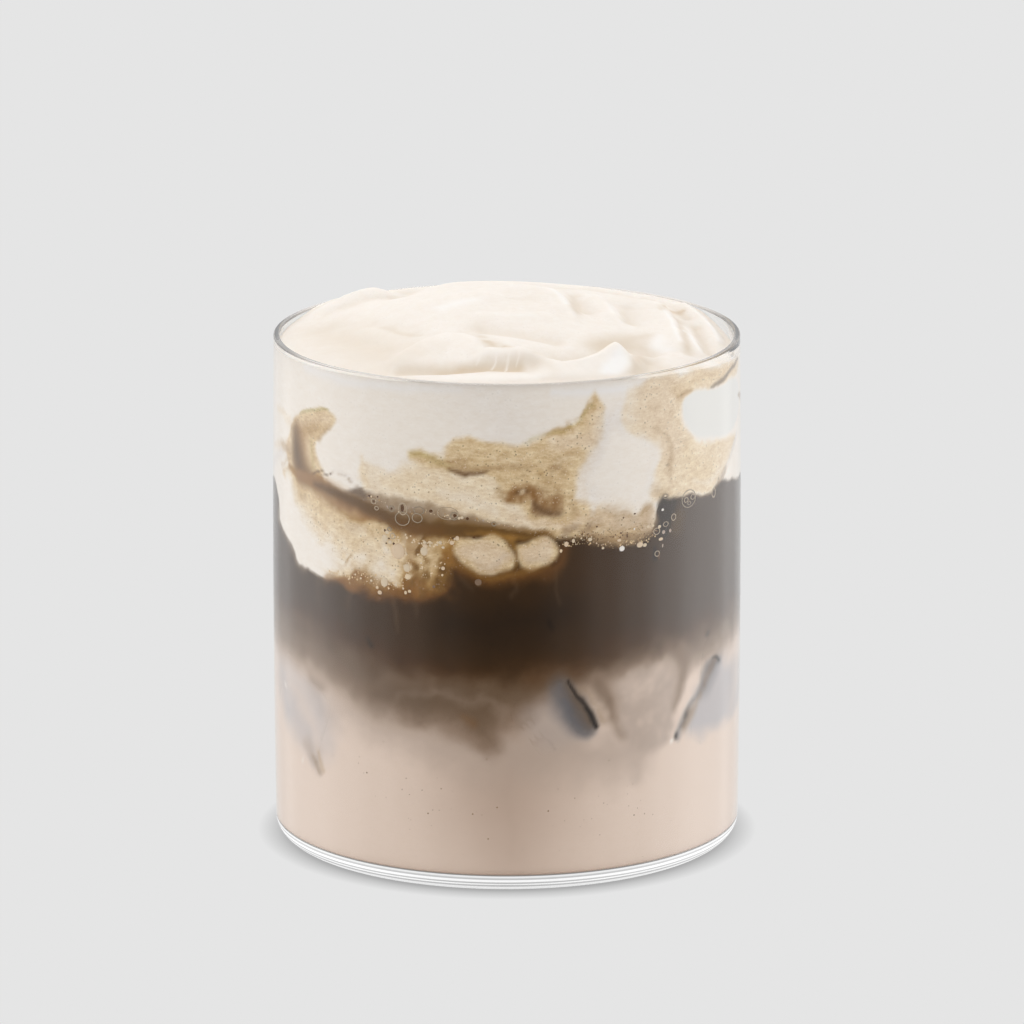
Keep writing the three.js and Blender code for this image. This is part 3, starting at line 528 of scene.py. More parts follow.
         0.75, 1.4, 1.4, 0.4),
    band("pale tan", [(14.5, 66, 0.4), (17, 63.4, 0.5), (15.4, 61.2, 0.5)], 0.5, 0.7, 1.4, 0.5),
    band("tan", [(13.5, 61.3, 0.4), (18, 61.3, 0.7), (23, 60.8, 0.8)], 0.6, 1, 1.4, 0.5),
    band("tan", [(14, 65.8, 0.5), (18, 66.6, 0.5), (22, 66.2, 0.5)], 0.5, 1.2, 1.2, 0.5),
    band("grey brown", [(9.5, 61.4, 0.5), (10.5, 62.8, 0.9), (12.5, 62, 0.6), (14, 63.3, 0.4)],
         0.7, 0.7, 1, 0.4),

    # the swirl at the right
    area("pale tan", [(20, 82), (20.6, 84.6), (22.5, 86.6), (33, 87), (42, 86.2), (50, 85.6), (56, 84.8),
         (54, 83), (48, 83), (41, 83), (35, 83.3), (32.6, 82), (32.8, 78.6), (36, 75), (42, 73.4),
         (48, 72.6), (53, 72), (49, 69.2), (45.5, 67), (42, 65.2), (39, 64.6), (35.5, 65.8), (31, 66.2),
         (28, 66.3), (25.3, 66.6), (25.6, 69.5), (27.3, 72.6), (27, 75.5), (24, 77), (21.2, 78.6)],
         0.94, 0.7, 0.6),
    area("pink tan", [(22.5, 84), (23.4, 86.6), (30, 87), (33, 85), (31.6, 82.6), (31.6, 78.6),
         (33.5, 75.6), (31, 72), (29.8, 68.4), (28.6, 72.4), (26.4, 76), (23, 78.8), (21.6, 81)],
         0.62, 1.6, 0.9),
    band("pink tan", [(15.8, 79.5, 0.2), (14.6, 75.5, 0.5), (13, 71.5, 0.7), (13.2, 68.4, 0.7)],
         0.5, 1.5, 1.2),
    band("cream", [(13.8, 68, 0.4), (17, 67, 0.7), (21, 66.8, 0.8), (25, 68, 0.6)], 0.6, 1.5, 1.5, 0.4),
    band("cream", [(25.4, 69, 0.4), (26.8, 72.4, 0.6), (26.6, 75.4, 0.6), (23.6, 77.4, 0.5)],
         0.5, 1.5, 1.2, 0.3),
    band("pink tan", [(15.5, 68.2, 0.2), (17.5, 67.4, 0.3), (22, 67.8, 0.3)], 0.3, 1, 1.5, 0.6),
    band("shaded cream", [(16.8, 81, 0.6), (16.2, 76.5, 1), (15, 72.4, 1.3), (15.2, 69.2, 1.2)],
         0.85, 2.2, 0.9),
    band("shaded cream", [(24.6, 70, 0.5), (25.4, 73, 0.7), (24.4, 76, 0.6)], 0.6, 1.8, 0.9),
    band("pink tan", [(35, 85.8, 0.6), (42, 85.6, 0.8), (50, 85, 0.6)], 0.6, 1.2, 0.8),
    band("cream", [(22, 86.4, 1), (21.2, 83.4, 0.8), (21.4, 80.6, 0.8)], 0.6, 2, 0.8),
    band("tan", [(33.5, 73.5, 1.5), (36, 70, 1.6), (41, 68.8, 1.3)], 0.5, 1.8, 0.9, 0.3),
    band("tan", [(31, 84.5, 0.8), (36, 85.2, 0.7), (42, 85, 0.8), (49, 85, 0.5)], 0.55, 0.9, 0.6),
    band("cream", [(36, 68.2, 0.3), (41, 66.6, 0.5), (45, 68.2, 0.5), (48.5, 70.5, 0.3)], 0.4, 0.8, 0.6),
    band("brown tan", [(26.5, 79, 0.15), (28.5, 77.3, 0.25), (29.6, 75, 0.5), (30.2, 72.5, 0.5),
         (30.1, 70, 0.3)], 0.5, 0.7, 0.8),
    band("brown tan", [(30.5, 77, 0.1), (32.5, 75.6, 0.2), (34, 75.5, 0.1)], 0.35, 0.5, 0.8),
    band("brown tan", [(25.5, 68.5, 0.6), (26.8, 67.4, 0.8), (29, 67.5, 0.5)], 0.6, 0.9, 0.8, 0.3),
    band("golden", [(31.8, 83.3, 0.4), (33.4, 83.9, 0.35), (35.2, 83.7, 0.25)], 0.55, 0.6, 0.6),
    band("cloud", [(41.2, 83.1, 0.2), (44.5, 83.5, 0.4), (48, 84.1, 0.4), (51.5, 84.6, 0.3),
         (55, 85.2, 0.2)], 0.75),
    band("bark", [(29.4, 71.9, 0.16)], 0.8, 0.2, 0.1),
    band("bark", [(32.6, 83.35, 0.12)], 0.8, 0.2, 0.1),
    area("cool white", [(32.7, 82.2), (35.5, 83.2), (41, 82.7), (46, 82.6), (50, 82.8), (55, 81),
         (55.5, 76.5), (52, 74), (47, 73.4), (42, 74.2), (37, 75.3), (33.6, 78)], 0.97, 0.55),
    band("shaded cream", [(45, 67, 0.3), (49, 69.4, 0.5), (53.5, 72, 0.5)], 0.8, 0.6, 0.4),
    band("grey brown", [(43.6, 65.9, 0.3), (46.2, 67.4, 0.4)], 0.7, 0.8),
    area("cream", [(17.5, 67), (20, 66.6), (23.5, 67.5), (25.3, 70), (26.6, 72.8), (25.5, 75.5), (22, 77.5),
         (18, 80), (15.5, 75), (13.2, 70.5)], 0.95, 2, 0.8),

    # the back of the drink
    area("tan", [(62, 80), (70, 83), (80, 81.5), (92, 78), (98, 72), (94, 66), (86, 61), (78, 60), (70, 64),
         (63, 70)], 0.95, 1.2, 1.6),
    area("pale tan", [(66, 78), (76, 80), (86, 76), (90, 70), (82, 65), (73, 67)], 0.75, 2.4, 1.8, 0.4),
    band("brown tan", [(64, 74, 0.4), (72, 71, 0.8), (80, 71.5, 0.6), (88, 68, 0.5)], 0.6, 1, 1.8, 0.6),
    band("golden", [(70, 61.6, 0.8), (78, 59.4, 1.4), (87, 60.2, 1.4), (95, 64.4, 1.2), (103, 63.4, 1.6),
         (112, 62.5, 0.8)], 0.9, 1, 1.2),
    band("current", [(84, 60.6, 0.4), (93, 63.8, 1), (102, 63.6, 1.2), (110, 62.8, 0.6)], 0.75, 1, 1),
    band("grey foam", [(90, 66.4, 0.6), (98, 66, 1.1), (107, 65, 0.8)], 0.8, 0.8, 1.2, 0.3),
    area("tan", [(-112, 76), (-104, 80), (-95, 81), (-86, 79), (-78, 79.5), (-70, 76), (-66, 71),
         (-72, 67.5), (-82, 68), (-92, 70.5), (-102, 70), (-110, 72)], 0.95, 0.9, 1.4),
    area("pale tan", [(-106, 75), (-98, 78), (-88, 76.5), (-78, 76), (-74, 72), (-82, 71), (-94, 73)],
         0.6, 2, 1.8, 0.5),
    band("brown tan", [(-108, 73, 0.3), (-98, 74, 0.6), (-88, 73, 0.5), (-78, 73.4, 0.6), (-71, 71, 0.4)],
         0.7, 0.8, 1.6, 0.5),
    band("bark", [(-91, 71.4, 0.2), (-86, 70.6, 0.4), (-81, 71, 0.2)], 0.8, 0.5, 0.8),
    band("golden", [(-62, 63.6, 0.4), (-68, 61.6, 1), (-78, 60.4, 1.6), (-88, 62.2, 1.5), (-98, 62.5, 1.8),
         (-108, 60, 1)], 0.92, 0.9, 1.2),
    band("current", [(-72, 61.6, 0.5), (-82, 61.6, 1), (-94, 62.8, 1.1), (-104, 61.4, 0.6)], 0.7, 1, 1),
    area("tan", [(-100, 60.5), (-94, 61.4), (-88, 60), (-86, 57), (-90, 54.6), (-97, 54.8), (-101, 57.4)],
         0.95, 0.6, 0.8),
    area("pink tan", [(-98, 59.6), (-92, 60), (-88.5, 58), (-91, 56), (-97, 56.4)], 0.7, 1.2, 0.8),
    area("pale tan", [(98, 70), (106, 75), (115, 77.5), (124, 75), (131, 69), (137, 63), (133, 60.5),
         (126, 63), (118, 67.5), (109, 69), (102, 66.4)], 0.85, 1.6, 1.8),
    band("tan", [(100, 69, 0.6), (109, 72.4, 1.6), (119, 72.4, 1.8), (128, 67.4, 1.4), (134, 63, 0.8)],
         0.8, 1.4, 1.8, 0.4),
    band("brown tan", [(106, 70, 0.3), (115, 70.6, 0.6), (124, 67.4, 0.6), (131, 63, 0.4)],
         0.6, 0.9, 1.6, 0.4),
    band("brown tan", [(112, 61.4, 0.6), (120, 60.2, 0.9), (127, 60, 0.7)], 0.7, 0.9, 1.4, 0.3),
    band("cream", [(104, 74, 2), (100, 80, 1.6), (94, 83, 1)], 0.7, 2.4, 1),
    band("beige", [(70, 37, 2), (78, 33, 3.5), (86, 30, 3), (92, 25, 1.5)], 0.6, 3, 1.6),
    band("cloud", [(96, 36, 1.5), (104, 34, 2.4), (114, 36, 1.6)], 0.5, 2.6, 1.6),
    band("light cloud", [(118, 34, 1), (125, 31, 1.8), (135, 33.5, 1.2)], 0.55, 2.4, 1.6),
    band("beige", [(-104, 33, 1.4), (-94, 30, 2.6), (-84, 31.5, 2), (-74, 29, 1.5)], 0.5, 3, 1.6),
    area("ice", [(97, 35), (106, 36), (112, 30), (109, 22), (101, 20), (95, 26)], 0.6, 2.6, 1),
    band("ice shade", [(96.4, 33.5, 0.5), (95.6, 28, 0.7), (98, 22, 0.6)], 0.6, 0.9),
    band("black", [(96, 32.4, 0.2), (95.8, 28.6, 0.3), (97, 24.6, 0.2)], 0.8, 0.4, 0.4),
    band("light cloud", [(74, 55, 0.3), (74.6, 51, 0.35), (74, 47.6, 0.2)], 0.25, 0.6, 0.6),
    band("light cloud", [(-90, 53.6, 0.3), (-90.6, 49.6, 0.35), (-90, 46, 0.2)], 0.25, 0.6, 0.6),

    # the dark gap between foam and swirl
    area("dark tea", [(26.2, 61), (26.6, 65.8), (27.6, 67.2), (29, 66.4), (31, 66), (30.5, 63.5),
         (28.5, 60), (26.4, 60)], 0.92, 0.7, 1.2),
    band("olive", [(32, 62.5, 1), (31, 60.5, 0.8)], 0.2, 1.8),
    band("black", [(26.3, 57.6, 0.3), (26.6, 56.2, 0.45)], 0.9),
    band("grey brown", [(55, 78.8, 0.2), (58, 77.8, 0.6), (61, 77, 0.6)], 0.8, 0.4, 0.2),
]

# Painted shade and highlights on top of the cream, where x is to the right of the axis and y behind it
TOP_MARKINGS = [
    area("hollow cream", [(-36, 3), (-29, 4), (-22, -8), (-17, -18), (-15, -28), (-22, -29), (-30, -18)],
         0.55, 6, 1),
    band("hollow cream", [(-17, -30.5, 0.8), (-10, -31.2, 1.3), (-3, -31.8, 1.5), (4, -32.6, 1.3),
         (8, -35, 0.6)], 0.95, 1.5, 0.6),
    band("brown cream", [(-11, -31.6, 0.5), (-5, -32, 0.9), (2, -32.6, 0.7)], 0.45, 1.2, 0.8),
    band("lit cream", [(-13, -36, 0.5), (-4, -36.8, 0.9), (5, -36.8, 0.7)], 0.8, 0.8, 0.3),
    band("hollow cream", [(-7, -16, 0.3), (-3.5, -21, 1.2), (0, -25.6, 1.3), (4, -28.6, 0.6)],
         0.8, 1.6, 1.2, 0.4),
    band("brown cream", [(-2.5, -23, 0.5), (0.5, -26, 0.6)], 0.35, 1.2, 1.2, 0.4),
    band("hollow cream", [(5, -30, 0.3), (9, -31, 0.3), (13, -29, 0.4), (17.5, -23.5, 0.7)], 0.9, 0.9, 0.2),
    band("hollow cream", [(14.5, -18, 1.2), (19, -15, 2), (24, -10, 0.8)], 0.95, 2.5, 0.8),
    band("brown cream", [(16, -18.5, 0.5), (19.5, -17, 1), (23, -15, 0.4)], 0.3, 1.8, 0.8),
    band("hollow cream", [(22.6, -20, 0.8), (22.2, -27, 1.2), (21.4, -32, 1)], 0.9, 1, 0.3),
    area("lit cream", [(3, -31.5), (9, -33.5), (15, -29.5), (18.4, -25.4), (20, -27.5), (19.6, -32),
         (14, -35), (6, -36)], 0.6, 1.2),
    area("facet white", [(17.4, -28), (18.6, -26), (19.8, -28), (19.7, -31.5), (18.4, -33), (16, -33.2),
         (16.5, -30)], 0.95, 1),
    band("hollow cream", [(29.9, 4, 0.4), (30.4, -9, 0.6), (31, -15, 0.5)], 0.9, 0.8, 0.3),
    band("hollow cream", [(33, -5, 0.4), (33.6, -12, 0.5)], 0.9, 0.7, 0.3),
    band("hollow cream", [(24, -14, 0.5), (24.5, -22, 1.5), (26, -26, 1.5)], 0.5, 2.5, 0.8),
    band("brown cream", [(26.3, 9, 0.2), (28.2, 14, 0.6), (30.6, 16, 0.5)], 0.6, 0.8, 0.8),
    band("facet white", [(26.6, 11, 0.1), (28.2, 3, 0.25), (29, -6, 0.3), (29.4, -11, 0.2)],
         0.8, 0.45, 0.2),
    band("facet white", [(30.4, 1, 0.1), (31.6, -6, 0.25), (33, -13, 0.15)], 0.8, 0.4, 0.2),
    band("facet white", [(32, 17.6, 0.1), (34.2, 13, 0.25), (35.6, 7, 0.25), (36.6, 0, 0.15)],
         0.9, 0.4, 0.2),
    band("facet white", [(26, -9, 0.6), (26.4, -14, 1.2), (28, -14.5, 0.6)], 0.7, 1.2),
    band("hollow cream", [(9, 15, 1.5), (15, 24, 2), (22, 16, 2)], 0.45, 3.5, 1),
    band("hollow cream", [(11, 9, 0.3), (11.9, -3.4, 0.9)], 0.8, 1, 0.3),
    band("facet white", [(7, 7, 0.3), (9.3, 3, 0.5), (10.4, -2, 0.3)], 0.7, 0.7, 0.3),
    band("facet white", [(17, 5.5, 0.1), (18.4, 0, 0.4)], 0.6, 0.6, 0.3),
    band("hollow cream", [(20, 5, 0.2), (20.6, -2, 0.6)], 0.6, 1.2, 0.3),
    band("facet white", [(-11, -4, 0.8), (-8, -2.5, 1.4), (-5.4, -1, 0.8)], 0.7, 2, 0.6),
    band("hollow cream", [(-21, -6.5, 0.2), (-18.4, -11, 0.4), (-15, -14.5, 0.3)], 0.7, 0.8, 0.4),
    band("facet white", [(-3.1, -8.7, 0.15), (0, -9.5, 0.2), (5, -9, 0.15)], 0.5, 0.6, 0.3),
    band("lit cream", [(-5, -30.2, 0.08), (-4.2, -28.8, 0.12)], 0.8, 0.25),
    band("lit cream", [(-2.9, -31.6, 0.1), (-2.2, -30.4, 0.14), (-1.8, -29.4, 0.1)], 0.9, 0.22, 0.6),
    band("lit cream", [(-0.9, -32.8, 0.12), (-0.4, -31.2, 0.16), (0.5, -29.8, 0.1)], 0.9, 0.25, 0.6),
    band("lit cream", [(1.4, -31.8, 0.08), (2.1, -30, 0.12)], 0.8, 0.25),
]

# Spacing of the grid on which the cream's relief is read, the widths at which its hollows and crests are
# found, each with the depth that gives them their full painted shade or painted highlight, and how strongly
# these are painted. LEAST_SHARE keeps the blur steady where hardly any cream is near.
RELIEF_SPACING = 0.3
RELIEF_SCALES = ((0.7, 0.35), (2.5, 1.1))
RELIEF_COVER = 0.6
LEAST_SHARE = 0.02

# How far from the wall the side's markings show on the cream's top, the share of that way at which the top's
# own markings begin, and how steeply up a face of the cream looks that counts as its top
TOP_BLEND = 1.5
TOP_START = 0.1
TOP_STEEPNESS = 0.5

# Bubbles, beads of foam and pores against the wall by their colours, each as (place round the wall, height,
# half width, half height)
BUBBLES = {
    "film": [
        (-23.3, 66.5, 0.5, 0.43), (-22.7, 65.4, 0.37, 0.31), (-17.7, 65.9, 0.77, 1),
        (-9.8, 65.8, 1.78, 1.07), (-19.6, 61, 0.44, 0.49), (35.5, 65.2, 0.6, 0.42), (33.7, 65, 0.5, 0.4),
        (41.9, 64.6, 0.6, 0.8), (26.8, 60.8, 0.66, 0.55),
    ],
    "grey film": [
        (-19.8, 65.7, 0.48, 0.46), (-14.8, 65.9, 0.89, 0.64), (-8.7, 65.4, 0.63, 0.64),
        (-2.1, 64.3, 0.36, 0.34), (-20.2, 62.1, 0.38, 0.31), (34.4, 65.1, 1.8, 1.5),
        (34.5, 64.3, 0.42, 0.28), (28.8, 66.5, 0.5, 0.4),
    ],
    "dull film": [
        (-17.8, 64.2, 1.31, 1.14), (-15.1, 64.6, 0.9, 0.78), (30.6, 62.6, 0.5, 0.55),
        (28.8, 61.7, 0.55, 0.4), (26.9, 56.9, 0.5, 0.45),
    ],
}
BEADS = {
    "bead cream": [
        (-21.1, 60.4, 0.62, 0.72), (-20.1, 59.9, 0.4, 0.36), (-20.7, 61.5, 0.35, 0.32),
        (-17.2, 61.5, 0.18, 0.2), (-17, 55.8, 0.62, 0.74), (-13.9, 59, 0.66, 0.8),
        (-13.8, 60.5, 0.32, 0.26), (-16, 60.3, 0.21, 0.14), (-11.1, 60.7, 0.34, 0.31),
        (-10.6, 59.9, 0.29, 0.23), (-14.4, 56.9, 0.2, 0.2), (-21.2, 52.8, 0.7, 0.84),
        (-19, 52.6, 0.31, 0.26), (-23.8, 52.7, 0.24, 0.23), (-7.4, 65.2, 0.31, 0.26),
        (-7.9, 65.1, 0.25, 0.26), (31.9, 66.4, 0.5, 0.32), (28.7, 66.6, 0.28, 0.18),
        (24.3, 58.8, 0.42, 0.32), (16.3, 59.3, 0.26, 0.21), (11.1, 61, 0.28, 0.35), (25, 61.9, 0.34, 0.25),
        (26, 61.9, 0.31, 0.25), (27.4, 61.5, 0.36, 0.28), (14, 61, 0.4, 0.32),
    ],
    "white": [
        (28.1, 64.3, 0.3, 0.22), (19.8, 58.8, 0.52, 0.48), (22.2, 61.9, 0.17, 0.15), (31.7, 66.4, 0.3, 0.2),
    ],
    "pink tan": [
        (-18.6, 58.5, 1.3, 1.4), (-13.7, 59.9, 0.47, 0.37), (-9.1, 60.8, 0.42, 0.37),
        (-10.6, 56.3, 0.34, 0.34), (-8.2, 61.6, 0.34, 0.43), (-22.1, 50.9, 0.44, 0.36),
        (27.7, 59.3, 0.5, 0.28), (23.3, 59, 0.66, 0.49), (9.9, 60.5, 0.39, 0.46), (19.3, 60.3, 0.39, 0.25),
    ],
    "pale tan": [
        (-16.8, 54.3, 0.55, 0.52), (-17, 61, 0.21, 0.23), (-12.9, 60.6, 0.32, 0.29),
        (-16.5, 51.8, 0.3, 0.29), (-17.2, 51.5, 0.25, 0.32), (-22.6, 51.7, 0.27, 0.29),
        (9, 59.4, 0.24, 0.32),
    ],
    "beige": [(29.8, 60.4, 0.29, 0.32), (28.3, 60.4, 0.37, 0.35), (28.1, 58.1, 0.15, 0.32)],
    "light cloud": [(-4.7, 54.2, 0.6, 0.58), (-12.2, 53, 0.26, 0.26)],
    "bark": [
        (-23.3, 66.5, 0.24, 0.2), (-22.7, 65.4, 0.15, 0.13), (-22.5, 67.4, 0.17, 0.14),
        (-24.2, 67.3, 0.24, 0.2), (-19.8, 65.7, 0.22, 0.2), (-17.8, 66, 0.34, 0.66),
        (-12.7, 66, 0.32, 0.28), (-6.5, 65.1, 0.25, 0.23), (-8.6, 65.5, 0.3, 0.28),
        (-2.1, 64.3, 0.14, 0.14), (-5.4, 61.9, 0.28, 0.17), (-8.9, 61.6, 0.2, 0.17),
        (-21.1, 61.8, 0.19, 0.23), (-20.3, 60.5, 0.19, 0.14), (-19.4, 59.7, 0.22, 0.23),
        (-20.8, 59.6, 0.19, 0.14), (-10.9, 60.6, 0.14, 0.2), (-16.5, 51.5, 0.2, 0.17),
        (26.8, 60.8, 0.27, 0.25), (20.1, 64.1, 0.16, 0.15), (15.2, 63.1, 0.16, 0.15),
        (22.3, 64.5, 0.25, 0.14), (27.3, 56.6, 0.22, 0.85), (20.8, 60.9, 0.14, 0.36),
        (19.6, 61.5, 0.22, 0.15), (34.4, 65.6, 0.28, 0.14), (34.5, 64.8, 0.2, 0.2),
    ],
}

# Where fine froth collects, as a path of (place, height, half width), how many beads, their smallest and
# largest radius, and their colours
FROTH_TRAILS = [
    ([(-33, 52.6, 0.4), (-29, 52.4, 0.6), (-25, 53.6, 0.9), (-21, 52.4, 0.8), (-17.5, 52.2, 0.7)],
     90, 0.08, 0.22, ("bead cream", "pale tan", "tan", "tan")),
    ([(-17.2, 53, 0.4), (-16.6, 56.8, 0.4), (-18, 60, 0.4), (-20.5, 61.8, 0.5)], 50, 0.08, 0.2,
     ("bead cream", "pale tan", "tan")),
    ([(-15.8, 60.8, 0.5), (-12, 60.2, 0.7), (-8.8, 61.4, 0.4)], 60, 0.08, 0.22,
     ("bead cream", "pale tan", "tan", "tan")),
    ([(-14.5, 58, 0.6), (-13.2, 54.6, 0.7), (-11, 57.2, 0.8)], 30, 0.08, 0.24, ("pale tan", "tan")),
    ([(-24.5, 67, 0.5), (-19, 65.8, 0.8), (-13, 65.6, 0.5), (-6, 65, 0.3), (1, 64, 0.2)], 60, 0.08, 0.2,
     ("beige", "pale tan", "brown tan")),
    ([(8.6, 60.4, 0.5), (13, 60.6, 0.5), (17, 59.8, 0.5), (20.5, 59.7, 0.7), (24.5, 59.8, 0.6),
     (27.4, 61, 0.7)], 100, 0.07, 0.2, ("tan", "tan", "pink tan", "brown tan")),
    ([(12.5, 62, 0.8), (17, 61.4, 0.8), (21, 61.4, 1.2), (24, 62, 1.2)], 110, 0.07, 0.15,
     ("bark", "brown tan")),
    ([(9, 61.2, 1), (12, 61.6, 1), (14, 61.6, 0.8)], 60, 0.08, 0.2, ("bark", "brown tan", "bead cream")),
    ([(-22, 69, 1.5), (-12, 70, 2), (-2, 68, 1.6), (4, 72, 2.6), (10, 76, 2)], 80, 0.06, 0.14,
     ("brown tan", "bead cream")),
    ([(-40, 62, 1.5), (-32, 58, 2.4), (-24, 57.5, 2.4), (-20, 56.6, 1.6)], 80, 0.06, 0.16,
     ("brown tan", "bead cream")),
    ([(33, 76, 1.4), (37, 71, 2), (42, 68.5, 1.4)], 40, 0.06, 0.14, ("brown tan", "bead cream")),
]

# Specks of roasted tea in the milk, in the same form
POWDER_TRAILS = [
    ([(-26, 22, 5), (0, 17, 9), (24, 16, 6)], 46, 0.08, 0.17, ("grey brown", "deep milk")),
    ([(-34, 14, 8), (0, 9, 6), (34, 15, 8)], 30, 0.07, 0.14, ("deep milk",)),
    ([(60, 18, 9), (120, 16, 10), (180, 20, 8)], 70, 0.08, 0.17, ("grey brown", "deep milk")),
]

# A strewn bead's size leans towards the smallest by TRAIL_SMALLNESS, and it strays from its path by shares
# of the half width, round the wall and up
TRAIL_STEPS = 8
TRAIL_SMALLNESS = 2.5
TRAIL_SPREAD = (0.8, 0.5)

# Divisions of single beads and of strewn ones, and the sides of a bubble's film
BEAD_DIVISIONS = 2
STREWN_DIVISIONS = 1
FILM_SIDES = 6

# Ice cubes that touch the wall, as (place round the wall, height, size, turn in degrees), how far their faces
# would stand out of the skin, and how far they do once they are flush with the wall
ICE_CUBES = [(-43, 25.5, 17, 24), (7.5, 30.5, 12, -32), (46, 29, 19, 12), (104, 28, 20, -18)]
ICE_DIP = 1.6
ICE_PROUD = 0.03
ICE_EDGE_STEPS = 4
MILK_CORNER_STEPS = 8

# Sizes of the froth's patterns and of the whisk's traces on the cream's top, as repeats in a metre
LUMP_SCALE = 480
WISP_SCALE = 1250
FINE_SCALE = 3800
STREAK_SCALE = 420
WISP_FLATNESS = 2.2

# How bright even froth is, the shares of lumps, wisps and fine grain in it, and how strongly its red, green
# and blue follow them
GRAIN_LEVEL = 1.04
GRAIN_SHARES = (0.8, 0.55, 0.3)
GRAIN_WARMTH = (0.8, 1.15, 1.6)

# Dark pores in the lumps and pale bubbles between them, as repeats in a metre, the distances between which
# a spot fades out, the range of lumps that it keeps to, its strength and its colour
FROTH_SPOTS = (
    (1500, (0.14, 0.3), (0.47, 0.62, 0, 1), 0.7, (0.16, 0.085, 0.035, 1)),
    (1900, (0.16, 0.34), (0.36, 0.5, 1, 0), 0.5, (0.88, 0.74, 0.57, 1)),
)

# Tint of the rim seen across the wall and along it, the dark one a painted shade where the eye looks along
# the wall, and where one turns into the other
RIM_PALE = (0.93, 0.93, 0.95, 1)
RIM_DARK = (0.105, 0.107, 0.112, 1)
RIM_DARKENING = (0.3, 0.72)

# Height up to which the base is painted with glowing pale rings of light, and the grey of its rings from the
# bottom up
HEEL_TOP = 3.2
BASE_RINGS = [
    (0, 0.6), (0.08, 0.82), (0.28, 0.9), (0.34, 0.4), (0.4, 0.4), (0.44, 0.88), (0.49, 0.88),
    (0.53, 0.42), (0.57, 0.45), (0.62, 0.92), (0.72, 0.95), (0.76, 0.5), (0.83, 0.52), (0.87, 0.8),
    (0.94, 0.78), (0.97, 0.2),
]

# Material slots of the glass and of the cream
RIM_SLOT = 1
BASE_SLOT = 2
TOP_SLOT = 1

# Brightness of the studio's two zones, as (cosine of the azimuth from the front, brightness). The low zone is
# what the upright glass mirrors: a dim front, tall soft boxes at the sides, the right one brighter by
# RIGHT_BIAS, and a paler back. HORIZON and CEILING_EDGE are the heights between which one zone turns into the
# next.
LOW_STUDIO = [
    (-1, 0.78), (-0.89, 0.95), (-0.7, 1.45), (-0.2, 2.15), (0.09, 1.85), (0.41, 1.15), (0.66, 0.66),
    (0.87, 0.28), (1, 0.08),
]
HIGH_STUDIO = [(-1, 1), (-0.2, 1.16), (0.3, 1.22), (0.8, 1.1), (1, 0.86)]
STUDIO_SCALE = 2.5
RIGHT_BIAS = 0.14
HORIZON = (-0.02, 0.12)
CEILING = 0.42
CEILING_EDGE = (0.45, 0.85)

# A broad light high up at the back left, which brings out the folds of the cream
KEY_DIRECTION = (-0.14, 0.36, 0.92)
KEY_STRENGTH = 3.2
KEY_EDGE = (0.88, 0.985)

# Brightness of the floor, the share of it left in the painted shadow under the glass, and that shadow's
# reach in metres
FLOOR_GLOW = 0.7835
CONTACT_SHADOW = 0.47
CONTACT_REACH = 0.004
CONTACT_SAMPLES = 16
FLOOR_STEPS = 64

# The camera's sensor in millimetres, and how far it sees in metres
SENSOR_WIDTH = 36
VIEW_DEPTH = 20


def millimetres(name, description, default, low=0.05):
    return FloatProperty(name=name, description=description + ", in mm", default=default, min=low)


def metres(name, description, default):
    return FloatProperty(name=name, description=description, default=default, unit="LENGTH")


def count_of(name, description, default, low):
    return IntProperty(name=name, description=description, default=default, min=low)


class TumblerSettings(bpy.types.PropertyGroup):
    foot_recess: millimetres("Foot recess", "Depth of the hollow under the base", 0.6, 0)
    recess_radius: millimetres("Recess radius", "Radius of the hollow under the base", 31, 1)
    foot_radius: millimetres("Foot radius", "Inner radius of the foot ring", 34.4, 1)
    heel: millimetres("Heel", "Radius of the rounded heel", 3.2, 0.5)
    corner: millimetres("Inner corner", "Radius inside at the floor", 2.2, 0.5)
    rim_edge: millimetres("Rim edge", "Radius of the edges of the cut rim", 0.25)
    steps: count_of("Steps", "Steps round the glass", 256, 16)
    wall_steps: count_of("Wall steps", "Steps up the wall", 24, 4)
    arc_steps: count_of("Arc steps", "Steps in each small arc", 10, 3)


class DrinkSettings(bpy.types.PropertyGroup):
    front_angle: FloatProperty(
        name="Front", description="Angle of the most finely meshed side", default=math.radians(190),
        subtype="ANGLE",
    )
    front_steps: count_of("Front steps", "Steps round the front", 390, 16)
    back_steps: count_of("Back steps", "Steps round the back", 180, 16)
    milk_foot: millimetres("Milk foot", "Height of the milk's lower face", 3.15, 0.5)
    milk_corner: millimetres("Milk corner", "Radius of the milk's lower corner", 0.25)
    milk_rows: count_of("Milk rows", "Rows up the side of the milk", 84, 8)
    tea_rows: count_of("Tea rows", "Rows up the side of the tea", 70, 8)
    cream_rows: count_of("Cream rows", "Rows up the side of the cream", 88, 8)
    inner_rings: count_of("Inner rings", "Rings across a hidden surface", 4, 2)
    top_rings: count_of("Top rings", "Rings across the cream's top", 80, 8)


class DetailSettings(bpy.types.PropertyGroup):
    bead_depth: FloatProperty(
        name="Bead depth", description="Depth of a bead as a share of its radius", default=0.35, min=0.05,
        max=1,
    )
    ring_wire: millimetres("Bubble film", "Thickness of the film seen round a bubble", 0.09, 0.02)
    ring_steps: count_of("Bubble steps", "Steps round a bubble", 20, 8)
    ice_bevel: millimetres("Ice edge", "Radius of the melted edges", 3, 0.5)
    ice_cuts: count_of("Ice cuts", "Cuts across each face of the ice", 44, 4)


class StageSettings(bpy.types.PropertyGroup):
    distance: metres("Distance", "Camera's distance in front of the glass", 1.18431)
    height: metres("Height", "Camera's height above the floor", 0.35377)
    aside: metres("Aside", "Camera's place to the right of the axis", 0.00088)
    pitch: FloatProperty(
        name="Pitch", description="How far the camera looks down", default=0.246, subtype="ANGLE"
    )
    lens: FloatProperty(
        name="Lens", description="Focal length, in mm on a 36 mm sensor", default=248.9, min=10
    )
    floor_radius: metres("Floor radius", "Radius of the studio floor", 4)


